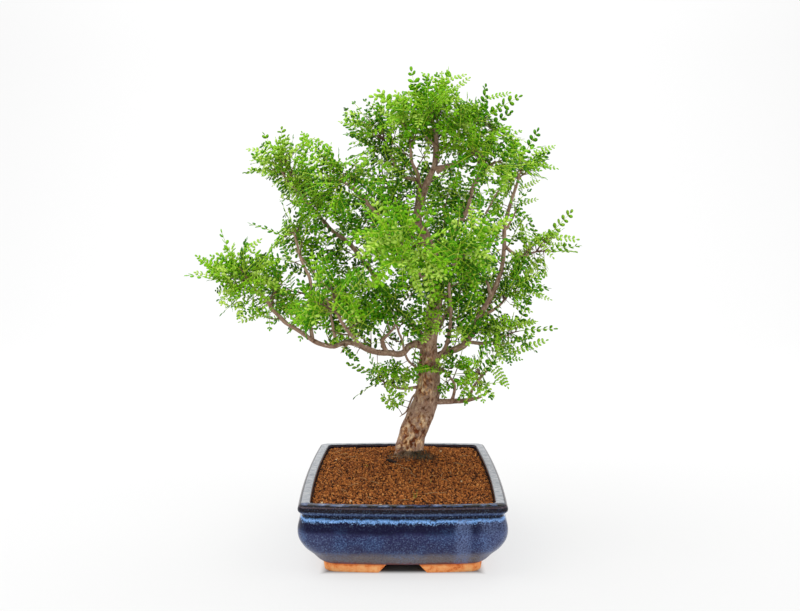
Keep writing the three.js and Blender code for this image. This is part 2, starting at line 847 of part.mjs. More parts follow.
function tubeAlong(points, extra) {
  return limbThrough(
    points.map((point) => [...point.toArray(), TWIG_RADIUS + extra]),
    TWIG_SIDES
  );
}

// The curve of a spray's twig, bent about its heading until it is clear of what stands already.
function twigOf(spray, standing) {
  const heading = spray.tip.clone().sub(spray.foot).normalize();
  const across = squareTo(heading);
  for (const bend of TWIG_BENDS) {
    for (const turn of TWIG_TURNS) {
      const sway = across.clone().applyAxisAngle(heading, THREE.MathUtils.degToRad(turn + spray.roll));
      const tip = spray.tip.clone().addScaledVector(sway, bend);
      const way = tip.clone().sub(spray.foot).normalize();
      way.z += TWIG_LIFT;
      way.normalize();
      const seat = seatOf(spray.foot, way, standing[0]);
      if (seat) {
        const knee = seat.clone().addScaledVector(way, TWIG_KNEE * seat.distanceTo(tip));
        const curve = new THREE.QuadraticBezierCurve3(seat, knee, tip);
        const rest = TWIG_CHECKS.map((share) => curve.getPoint(share));
        if (isClear(tubeAlong([seat, ...rest], SEAT_GAP), standing)) {
          return curve;
        }
      }
    }
  }
  throw new Error("a twig has no clear place");
}

// The leaf of one station: it takes the first size, lean and turn that leave it clear.
function leafAt(station, index, curve, spray, obstacles) {
  const base = curve.getPoint(station.share);
  const twigWay = curve.getTangent(station.share);
  const across = squareTo(twigWay);
  for (const size of LEAF_SIZES) {
    for (const leanMore of LEAF_LEANS) {
      for (const turnMore of LEAF_TURNS) {
        const turn = THREE.MathUtils.degToRad(spray.roll + TURN_PER_LEAF * index + turnMore);
        const lean = THREE.MathUtils.degToRad(station.lean + leanMore);
        const out = across.clone().applyAxisAngle(twigWay, turn);
        const along = twigWay.clone().multiplyScalar(Math.cos(lean)).addScaledVector(out, Math.sin(lean));
        along.z += LEAF_LIFT;
        along.normalize();
        const facing = spray.outward.clone().addScaledVector(out, 0.4);
        facing.z += 1;
        const leaf = { base, along, facing, out, length: LEAF_LENGTH * station.size * size };
        const probe = probeOf(leaf);
        if (isClear(probe, obstacles)) {
          return { ...leaf, share: station.share, solid: probe, box: boxOf(probe) };
        }
      }
    }
  }
  return null;
}

// Four corners round the twig, square to it, carried along from the ring before.
function twigRing(skin, curve, share, across) {
  const along = curve.getTangent(share);
  across.addScaledVector(along, -across.dot(along)).normalize();
  const over = new THREE.Vector3().crossVectors(along, across);
  const radius = THREE.MathUtils.lerp(TWIG_RADIUS, TWIG_TIP_RADIUS, share);
  return Array.from({ length: TWIG_SIDES }, (_, side) => {
    const angle = (2 * Math.PI * side) / TWIG_SIDES;
    return skin.add(
      curve
        .getPoint(share)
        .addScaledVector(across, radius * Math.cos(angle))
        .addScaledVector(over, radius * Math.sin(angle))
    );
  });
}

// The corners of a ring of four, started from the one that gives its leaf the least twist.
function untwisted(skin, ring, leaf) {
  const side = new THREE.Vector3().crossVectors(leaf.along, leaf.facing);
  const scores = ring.map((corner) => skin.points[corner].clone().sub(leaf.base).dot(side));
  const first = scores.indexOf(Math.min(...scores));
  return ring.map((_, index) => ring[(first + index) % ring.length]);
}

// The side of the twig between two rings that looks most nearly along a direction.
function sideTowards(skin, ring, centre, direction) {
  const scores = ring.map((corner, index) => {
    const next = ring[(index + 1) % ring.length];
    return skin.points[corner].clone().add(skin.points[next]).sub(centre).sub(centre).dot(direction);
  });
  return scores.indexOf(Math.max(...scores));
}

// A leafy shoot: its twig, a leaf on each station up the twig and one that ends it.
function makeSpray(spray, standing) {
  const curve = twigOf(spray, standing);
  const leaves = [];
  [...LEAF_STATIONS].reverse().forEach((station, index) => {
    const leaf = leafAt(station, index, curve, spray, [...standing, ...leaves]);
    if (leaf) {
      leaves.unshift(leaf);
    }
  });
  const skin = new Skin();
  const across = squareTo(curve.getTangent(0));
  const nodeShare = NODE_HALF / curve.getLength();
  let ring = twigRing(skin, curve, 0, across);
  skin.close(ring);
  for (const leaf of leaves.filter(({ share }) => share < 1)) {
    const below = twigRing(skin, curve, leaf.share - nodeShare, across);
    skin.wall(ring, below);
    const above = twigRing(skin, curve, leaf.share + nodeShare, across);
    const open = sideTowards(skin, below, curve.getPoint(leaf.share - nodeShare), leaf.out);
    const next = (open + 1) % TWIG_SIDES;
    skin.wall(below, above, open);
    addLeaf(skin, untwisted(skin, [below[open], below[next], above[next], above[open]], leaf), leaf, 0);
    ring = above;
  }
  const end = twigRing(skin, curve, 1, across);
  skin.wall(ring, end);
  const last = leaves[leaves.length - 1];
  if (last?.share === 1) {
    addLeaf(skin, untwisted(skin, end, last), last, 0);
  } else {
    skin.close([...end].reverse());
  }
  return skin.solid();
}

// Assembly

const bonsai = new THREE.Group();
bonsai.name = "zanthoxylum_bonsai";

const sprays = planSprays();
const wood = makeWood();

bonsai.add(meshOf("pot", makePot(), GLAZE));
bonsai.add(meshOf("drain_screen_front", makeScreen(-1), MESH_PLASTIC));
bonsai.add(meshOf("drain_screen_back", makeScreen(1), MESH_PLASTIC));
bonsai.add(meshOf("soil", makeSoil(), SOIL));
bonsai.add(meshOf("wood", wood, BARK));

const standing = [{ solid: wood, box: boxOf(wood) }];
sprays.forEach((spray, index) => {
  const solid = makeSpray(spray, standing);
  standing.push({ solid, box: boxOf(solid) });
  const name = `spray_${String(index + 1).padStart(2, "0")}`;
  bonsai.add(meshOf(name, solid, spray.cloud.young ? YOUNG_LEAF : LEAF));
});

export default bonsai;
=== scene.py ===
"""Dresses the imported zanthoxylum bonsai: bark, leafy shoots, granular soil and a glazed pot."""

import logging
import math
from collections.abc import Sequence
from dataclasses import dataclass, field
from enum import Enum
from typing import Self

import bpy
import numpy as np
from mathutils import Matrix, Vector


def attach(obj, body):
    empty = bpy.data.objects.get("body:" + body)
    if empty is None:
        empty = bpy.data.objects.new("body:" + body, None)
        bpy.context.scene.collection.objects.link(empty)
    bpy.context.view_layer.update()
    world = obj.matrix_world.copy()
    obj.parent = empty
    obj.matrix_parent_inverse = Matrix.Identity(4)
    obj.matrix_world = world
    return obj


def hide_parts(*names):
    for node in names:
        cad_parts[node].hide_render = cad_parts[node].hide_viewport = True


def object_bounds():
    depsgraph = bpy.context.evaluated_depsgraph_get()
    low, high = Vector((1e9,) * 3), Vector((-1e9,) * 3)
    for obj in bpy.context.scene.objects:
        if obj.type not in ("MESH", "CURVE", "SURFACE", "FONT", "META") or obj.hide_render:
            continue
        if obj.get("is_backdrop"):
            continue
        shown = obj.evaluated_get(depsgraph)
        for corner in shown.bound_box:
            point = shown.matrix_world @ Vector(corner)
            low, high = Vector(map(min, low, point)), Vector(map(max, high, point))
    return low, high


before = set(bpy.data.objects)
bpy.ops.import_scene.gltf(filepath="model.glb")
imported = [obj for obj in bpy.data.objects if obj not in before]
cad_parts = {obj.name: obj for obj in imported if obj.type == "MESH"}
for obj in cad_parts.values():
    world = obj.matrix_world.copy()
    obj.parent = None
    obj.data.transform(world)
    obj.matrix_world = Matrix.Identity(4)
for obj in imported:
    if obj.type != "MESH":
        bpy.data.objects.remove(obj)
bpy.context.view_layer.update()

log = logging.getLogger("bonsai")

Array = np.ndarray
MM = 0.001
UP = np.array([0.0, 0.0, 1.0])


class Trait(Enum):
    """Names of the per-point values that finishes read."""

    LOOK = "look"


# Vectors, noise and curves


def unit(vectors: Array) -> Array:
    """Scales vectors (..., 3) to length 1."""
    return vectors / np.maximum(np.linalg.norm(vectors, axis=-1, keepdims=True), 1e-12)


def dot(first: Array, second: Array) -> Array:
    """The dot product of vectors (..., 3), kept as (..., 1)."""
    return (first * second).sum(axis=-1, keepdims=True)


def square_to(directions: Array) -> Array:
    """One direction square to each given one: up x direction, or x-axis x direction near the vertical.

    Args:
        directions: unit vectors (..., 3).

    Returns:
        Unit vectors (..., 3).
    """
    steep = np.abs(directions[..., 2:]) >= 0.9
    helper = np.where(steep, np.array([1.0, 0.0, 0.0]), UP)
    return unit(np.cross(helper, directions))


def turned(across: Array, axis: Array, angle: Array) -> Array:
    """Turns vectors square to an axis about it: across cos(angle) + (axis x across) sin(angle)."""
    return across * np.cos(angle) + np.cross(axis, across) * np.sin(angle)


class Relief:
    """Smooth seeded noise between -1 and 1 over space."""

    def __init__(self, seed: int) -> None:
        """Draws the lattice values.

        Args:
            seed: the seed of the draws.
        """
        rng = np.random.default_rng(seed)
        self.order = rng.permutation(256)
        self.heights = rng.uniform(-1, 1, 256)

    def at(self, points: Array) -> Array:
        """Lattice values blended by 3t^2 - 2t^3 along each axis.

        Args:
            points: places (..., 3), one lattice cell to the unit.

        Returns:
            Values (...).
        """
        cell = np.floor(points).astype(int)
        t = points - cell
        t = t * t * (3 - 2 * t)
        total = np.zeros(points.shape[:-1])
        for corner in np.ndindex(2, 2, 2):
            x, y, z = (cell[..., axis] + corner[axis] for axis in range(3))
            key = self.order[(self.order[(self.order[x & 255] + y) & 255] + z) & 255]
            share = np.where(np.array(corner, bool), t, 1 - t).prod(axis=-1)
            total += self.heights[key] * share
        return total

    def layered(self, points: Array, layers: int) -> Array:
        """A sum of noise layers, each of twice the fineness and half the height of the one before."""
        return sum(self.at(points * 2**layer) / 2**layer for layer in range(layers))


def smooth_route(places: Array, spacing: float) -> Array:
    """Carries a cubic Hermite curve through places, with slopes from centred differences.

    Args:
        places: rows (x, y, z, radius).
        spacing: the distance between samples.

    Returns:
        Evenly spaced rows (x, y, z, radius).
    """
    spans = np.linalg.norm(np.diff(places[:, :3], axis=0), axis=1)
    knots = np.concatenate([[0.0], np.cumsum(spans)])
    slopes = np.gradient(places, knots, axis=0)
    at = np.linspace(0, knots[-1], max(4, math.ceil(knots[-1] / spacing) + 1))
    index = np.clip(np.searchsorted(knots, at, side="right") - 1, 0, len(spans) - 1)
    width = spans[index][:, None]
    t = (at - knots[index])[:, None] / width
    return (
        places[index] * (1 + 2 * t) * (1 - t) ** 2
        + slopes[index] * width * t * (1 - t) ** 2
        + places[index + 1] * t**2 * (3 - 2 * t)
        + slopes[index + 1] * width * t**2 * (t - 1)
    )


def bent(start: Array, knee: Array, end: Array, shares: Array) -> Array:
    """Quadratic Bezier curves: (1-s)^2 start + 2s(1-s) knee + s^2 end.

    Args:
        start: first points (n, 3).
        knee: middle points (n, 3).
        end: last points (n, 3).
        shares: where on the curves, (k,).

    Returns:
        Points (n, k, 3).
    """
    s = shares[None, :, None]
    return (1 - s) ** 2 * start[:, None] + 2 * s * (1 - s) * knee[:, None] + s**2 * end[:, None]


def bent_way(start: Array, knee: Array, end: Array, shares: Array) -> Array:
    """Headings (n, k, 3) of quadratic Bezier curves, as unit vectors."""
    s = shares[None, :, None]
    return unit((1 - s) * (knee - start)[:, None] + s * (end - knee)[:, None])


# Meshes


@dataclass
class Skin:
    """Points and triangles of one finish, with a value triple for each point."""

    points: Array
    faces: Array
    finish: int = 0
    look: Array | None = None


def grid_faces(rows: int, columns: int, closed: bool = True) -> Array:
    """Triangles of a grid of points, whose columns run counter-clockwise about its rows' direction.

    Args:
        rows: the number of rings.
        columns: the number of points in a ring.
        closed: whether the last column joins the first.

    Returns:
        Triangles (m, 3).
    """
    row, column = np.meshgrid(
        np.arange(rows - 1), np.arange(columns if closed else columns - 1), indexing="ij"
    )
    a = row * columns + column
    b = row * columns + (column + 1) % columns
    corners = np.stack([a, b, b + columns, a, b + columns, a + columns], axis=-1)
    return corners.reshape(-1, 3)


def capped_faces(rows: int, columns: int) -> Array:
    """Triangles of a closed grid of points and of the fans to its two poles, which come after it.

    Args:
        rows: the number of rings.
        columns: the number of points in a ring.

    Returns:
        Triangles (m, 3).
    """
    step = np.arange(columns)
    after = (step + 1) % columns
    low = np.full(columns, rows * columns)
    last = (rows - 1) * columns
    fans = [
        np.stack([low, after, step], axis=-1),
        np.stack([low + 1, last + step, last + after], axis=-1),
    ]
    return np.concatenate([grid_faces(rows, columns), *fans])


def lofted(rings: Array, finish: int = 0) -> Skin:
    """A closed skin through rings (rows, columns, 3), with a pole in the middle of each end."""
    poles = [rings[:1].mean(axis=1), rings[-1:].mean(axis=1)]
    points = np.concatenate([rings.reshape(-1, 3), *poles])
    return Skin(points, capped_faces(*rings.shape[:2]), finish)


def tubes(
    paths: Array, radii: Array, sides: int, finish: int = 0, look: Array | None = None
) -> Skin:
    """Closed round tubes along paths, each ring square to its path, with a pole at each end.

    Args:
        paths: centre lines (tubes, rings, 3).
        radii: (tubes, rings), or (tubes, rings, sides) for a tube that isn't round.
        sides: the number of points in a ring.
        finish: the number of the finish.
        look: one value triple for all points.

    Returns:
        The tubes' skin.
    """
    count, rings = paths.shape[:2]
    way = unit(np.gradient(paths, axis=1))
    helper = np.eye(3)[np.argmin(np.abs(way).max(axis=1), axis=-1)][:, None]
    side = unit(helper - dot(helper, way) * way)
    over = np.cross(way, side)
    angle = np.linspace(0, 2 * np.pi, sides, endpoint=False)[:, None]
    reach = radii[..., None, None] if radii.ndim == 2 else radii[..., None]
    spokes = side[:, :, None] * np.cos(angle) + over[:, :, None] * np.sin(angle)
    ring_points = (paths[:, :, None] + spokes * reach).reshape(count, rings * sides, 3)
    points = np.concatenate([ring_points, paths[:, :1], paths[:, -1:]], axis=1)
    faces = capped_faces(rings, sides)
    shift = np.arange(count)[:, None, None] * points.shape[1]
    skin = Skin(points.reshape(-1, 3), (faces[None] + shift).reshape(-1, 3), finish)
    skin.look = np.broadcast_to(np.zeros(3) if look is None else look, skin.points.shape)
    return skin


def make_piece(
    name: str, skins: Sequence[Skin], finishes: Sequence[bpy.types.Material]
) -> bpy.types.Object:
    """Puts skins into one mesh that rides on the part.

    Args:
        name: the piece's name.
        skins: the skins to join.
        finishes: the materials that the skins' finish numbers choose from.

    Returns:
        The piece's object.
    """
    starts = np.cumsum([0] + [len(skin.points) for skin in skins[:-1]])
    points = np.concatenate([skin.points for skin in skins])
    faces = np.concatenate([skin.faces + start for skin, start in zip(skins, starts)])
    numbers = np.concatenate([np.full(len(skin.faces), skin.finish) for skin in skins])
    looks = np.concatenate(
        [np.zeros_like(skin.points) if skin.look is None else skin.look for skin in skins]
    )
    mesh = bpy.data.meshes.new(name)
    mesh.vertices.add(len(points))
    mesh.vertices.foreach_set("co", points.astype(np.float32).ravel())
    mesh.loops.add(faces.size)
    mesh.loops.foreach_set("vertex_index", faces.astype(np.int32).ravel())
    mesh.polygons.add(len(faces))
    mesh.polygons.foreach_set("loop_start", np.arange(0, faces.size, 3, dtype=np.int32))
    mesh.polygons.foreach_set("material_index", numbers.astype(np.int32))
    mesh.update(calc_edges=True)
    mesh.shade_smooth()
    trait = mesh.attributes.new(Trait.LOOK.value, "FLOAT_VECTOR", "POINT")
    trait.data.foreach_set("vector", looks.astype(np.float32).ravel())
    for finish in finishes:
        mesh.materials.append(finish)
    piece = bpy.data.objects.new(name, mesh)
    bpy.context.scene.collection.objects.link(piece)
    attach(piece, "root")
    log.info("%s: %d triangles", name, len(faces))
    return piece


# Finishes


def tone(code: str) -> tuple[float, float, float, float]:
    """Linear colour of a six-digit screen tone."""
    parts = [int(code[start : start + 2], 16) / 255 for start in (0, 2, 4)]
    linear = [part / 12.92 if part <= 0.04045 else ((part + 0.055) / 1.055) ** 2.4 for part in parts]
    return (*linear, 1.0)


class Blend(Enum):
    """How one colour is laid on another."""

    MIX = "MIX"
    MULTIPLY = "MULTIPLY"


class Value:
    """A value, vector or colour of a finish. Sums on values are written as on numbers."""

    def __init__(self, board: "Board", socket: bpy.types.NodeSocket) -> None:
        """Keeps the finish's board and the socket that gives the value."""
        self.board, self.socket = board, socket

    def __add__(self, other: "Value | float") -> "Value":
        """The sum."""
        return self.board.math("ADD", self, other)

    def __sub__(self, other: "Value | float") -> "Value":
        """The difference."""
        return self.board.math("SUBTRACT", self, other)

    def __mul__(self, other: "Value | float") -> "Value":
        """The product."""
        return self.board.math("MULTIPLY", self, other)

    def __abs__(self) -> "Value":
        """The size without its sign."""
        return self.board.math("ABSOLUTE", self, 0.0)


class Board:
    """The nodes of one finish, round its main shader."""

    def __init__(self, name: str, roughness: float, sheen: float) -> None:
        """Starts a finish.

        Args:
            name: the finish's name.
            roughness: how matt it is, from 0 to 1.
            sheen: the level of its sheen.
        """
        self.material = bpy.data.materials.new(name)
        self.material.use_nodes = True
        self.nodes = self.material.node_tree.nodes
        self.links = self.material.node_tree.links
        self.shader = self.nodes["Principled BSDF"]
        self.shader.inputs["Roughness"].default_value = roughness
        self.shader.inputs["Specular IOR Level"].default_value = sheen
        self.place = Value(self, self.nodes.new("ShaderNodeTexCoord").outputs["Object"])

    def feed(self, socket: bpy.types.NodeSocket, value: Value | str | float) -> None:
        """Joins a value to a socket, or sets the socket.

        Args:
            socket: the socket that is fed.
            value: a value of the finish, a tone or a number.
        """
        if isinstance(value, Value):
            self.links.new(value.socket, socket)
        else:
            socket.default_value = tone(value) if isinstance(value, str) else value

    def parts(self, vector: Value) -> tuple[Value, ...]:
        """The three parts of a vector."""
        node = self.nodes.new("ShaderNodeSeparateXYZ")
        self.feed(node.inputs[0], vector)
        return tuple(Value(self, socket) for socket in node.outputs)

    def look(self) -> tuple[Value, ...]:
        """The three per-point values of the piece."""
        node = self.nodes.new("ShaderNodeAttribute")
        node.attribute_name = Trait.LOOK.value
        return self.parts(Value(self, node.outputs["Vector"]))

    def stretched(self, scale: tuple[float, float, float]) -> Value:
        """Object coordinates multiplied along each axis.

        Args:
            scale: the factors along X, Y and Z.

        Returns:
            The multiplied coordinates.
        """
        node = self.nodes.new("ShaderNodeMapping")
        node.inputs["Scale"].default_value = scale
        self.feed(node.inputs["Vector"], self.place)
        return Value(self, node.outputs["Vector"])

    def noise(
        self, scale: float, detail: float = 4, vector: Value | None = None, warp: float = 0.0
    ) -> Value:
        """Cloudy noise, as a value about 0.5.

        Args:
            scale: cells to the metre.
            detail: the number of finer layers.
            vector: where it is read, or None for the object's own coordinates.
            warp: how much it is drawn into whorls.

        Returns:
            The noise.
        """
        node = self.nodes.new("ShaderNodeTexNoise")
        node.inputs["Scale"].default_value = scale
        node.inputs["Detail"].default_value = detail
        node.inputs["Distortion"].default_value = warp
        self.feed(node.inputs["Vector"], vector or self.place)
        return Value(self, node.outputs["Fac"])

    def math(self, sort: str, first: Value | float, second: Value | float) -> Value:
        """One sum on two values.

        Args:
            sort: which sum, by its name among math nodes.
            first: what it works on.
            second: the other value, which a sum of one value doesn't use.

        Returns:
            What comes out.
        """
        node = self.nodes.new("ShaderNodeMath")
        node.operation = sort
        for socket, value in zip(node.inputs, (first, second)):
            self.feed(socket, value)
        return Value(self, node.outputs[0])

    def span(self, value: Value, low: float, high: float, smooth: bool = False) -> Value:
        """How far a value is on the way from low to high.

        Args:
            value: what is measured.
            low: where the share is 0.
            high: where the share is 1, above or below low.
            smooth: whether the share starts and ends gently.

        Returns:
            The share, held between 0 and 1.
        """
        node = self.nodes.new("ShaderNodeMapRange")
        node.interpolation_type = "SMOOTHSTEP" if smooth else "LINEAR"
        node.inputs["From Min"].default_value = low
        node.inputs["From Max"].default_value = high
        self.feed(node.inputs["Value"], value)
        return Value(self, node.outputs["Result"])

    def ramp(self, value: Value, stops: Sequence[tuple[float, str]]) -> Value:
        """Colours picked by a value from 0 to 1.

        Args:
            value: what picks.
            stops: pairs of a value and its tone, in order.

        Returns:
            The colour.
        """
        node = self.nodes.new("ShaderNodeValToRGB")
        marks = node.color_ramp.elements
        marks[0].position, marks[0].color = stops[0][0], tone(stops[0][1])
        marks[1].position, marks[1].color = stops[-1][0], tone(stops[-1][1])
        for position, code in stops[1:-1]:
            marks.new(position).color = tone(code)
        self.feed(node.inputs["Fac"], value)
        return Value(self, node.outputs["Color"])

    def mix(
        self, share: Value | float, first: Value | str, second: Value | str, blend: Blend = Blend.MIX
    ) -> Value:
        """Lays the second colour on the first.

        Args:
            share: how far, from 0 to 1.
            first: the colour or tone below.
            second: the colour or tone that is laid on.
            blend: how it is laid on.

        Returns:
            The mixed colour.
        """
        node = self.nodes.new("ShaderNodeMix")
        node.data_type = "RGBA"
        node.blend_type = blend.value
        for name, value in (("Factor_Float", share), ("A_Color", first), ("B_Color", second)):
            self.feed(next(one for one in node.inputs if one.identifier == name), value)
        return Value(self, next(one for one in node.outputs if one.identifier == "Result_Color"))

    def bump(self, height: Value, depth: float, strength: float) -> None:
        """Gives the shader a relief.

        Args:
            height: the relief's height, as a share of its depth.
            depth: its depth in metres.
            strength: how much it is felt, from 0 to 1.
        """
        node = self.nodes.new("ShaderNodeBump")
        node.inputs["Strength"].default_value = strength
        node.inputs["Distance"].default_value = depth
        self.feed(node.inputs["Height"], height)
        self.links.new(node.outputs["Normal"], self.shader.inputs["Normal"])


class Finish:
    """What a material is laid out by: how matt it is, from 0 to 1, and the level of its sheen."""

    roughness: float = 0.85
    sheen: float = 0.25

    def build(self, name: str) -> bpy.types.Material:
        """Makes the finish.

        Args:
            name: the finish's name.

        Returns:
            The material.
        """
        board = Board(name, self.roughness, self.sheen)
        board.feed(board.shader.inputs["Base Color"], self.coloured(board))
        return board.material

    def coloured(self, board: Board) -> Value:
        """Works out the finish's colour, and gives the board its relief.

        Args:
            board: the finish's nodes.

        Returns:
            The colour.
        """
        raise NotImplementedError


@dataclass(frozen=True)
class LeafFinish(Finish):
    """Leaf blades. Look x is 0 for a young leaf and 1 for an old one, y is the place along the
    blade and z the place across it, from -1 to 1."""

    young: str = "bce060"
    fresh: str = "84c610"
    mature: str = "358a02"
    # old also serves as painted shade for the leaves deep in the crown.
    old: str = "104c02"
    midrib: str = "b4d040"
    roughness: float = 0.4
    sheen: float = 0.05
    cloud_scale: float = 260
    cloud_share: float = 0.35
    vein_spacing: float = 38
    vein_depth: float = 0.00005

    def coloured(self, board: Board) -> Value:
        """The blade's tone by its age, with a pale midrib and faint veins.

        Args:
            board: the finish's nodes.

        Returns:
            The colour.
        """
        age, along, across = board.look()
        stops = ((0.0, self.young), (0.33, self.fresh), (0.7, self.mature), (1.0, self.old))
        colour = board.ramp(age + (board.noise(self.cloud_scale, 3) - 0.5) * self.cloud_share, stops)
        rib = board.span(abs(across), 0.16, 0.03, smooth=True)
        colour = board.mix(rib * 0.35, colour, self.midrib)
        veins = board.math("SINE", along * self.vein_spacing + abs(across), 0.0)
        board.bump(veins + rib * -2.0, self.vein_depth, 0.5)
        return board.mix(board.span(veins, 0.4, 1.0) * 0.08, colour, self.young)


@dataclass(frozen=True)
class TwigFinish(Finish):
    """Shoots and leaf stalks, green where young. Look x is 0 for green and 1 for brown wood."""

    green: str = "b4d836"
    brown: str = "927260"
    dark: str = "543c30"
    roughness: float = 0.7
    sheen: float = 0.3
    cloud_scale: float = 420

    def coloured(self, board: Board) -> Value:
        """Green, or clouded brown."""
        wood = board.mix(board.noise(self.cloud_scale, 3), self.brown, self.dark)
        return board.mix(board.look()[0], self.green, wood)


@dataclass(frozen=True)
class BarkFinish(Finish):
    """Grey-tan bark with furrows. Look x is the relief's height from -1 to 1, y is 1 where the bark
    has flaked to warm tan, and z is 1 on thin dark wood."""

    furrow: str = "563722"
    body: str = "a88874"
    ridge: str = "d8bea8"
    flake: str = "daa26c"
    bare: str = "ffe0b4"
    rust: str = "783a1a"
    thin: str = "b2937d"
    grime: str = "7c7068"
    streak_scale: float = 230
    patch_scale: float = 115
    fine_scale: float = 620
    relief_depth: float = 0.0012

    def coloured(self, board: Board) -> Value:
        """Grey-tan by the relief's height and two clouds, warm where it has flaked.

        Args:
            board: the finish's nodes.

        Returns:
            The colour.
        """
        relief, flaked, thin = board.look()
        tall = board.stretched((1.0, 1.0, 0.6))
        streak = board.noise(self.streak_scale, 5, tall, 0.5)
        patch = board.noise(self.patch_scale, 4, tall, 0.5)
        fine = board.noise(self.fine_scale, 4)
        level = board.span(relief, -1.8, 1.8) + (streak - 0.5) + (patch - 0.5)
        stops = ((0.08, self.furrow), (0.4, self.body), (0.6, self.body), (0.95, self.ridge))
        warm = ((0.38, self.rust), (0.5, self.flake), (0.62, self.bare))
        warm_colour = board.ramp(patch + (streak - 0.5) * 0.5, warm)
        colour = board.mix(flaked, board.ramp(level, stops), warm_colour)
        colour = board.mix(thin * 0.8, colour, self.thin)
        speckle = board.ramp(fine, ((0.36, self.grime), (0.58, "ffffff")))
        board.bump(streak + fine * 0.2, self.relief_depth, 0.8)
        return board.mix(0.32, colour, speckle, Blend.MULTIPLY)


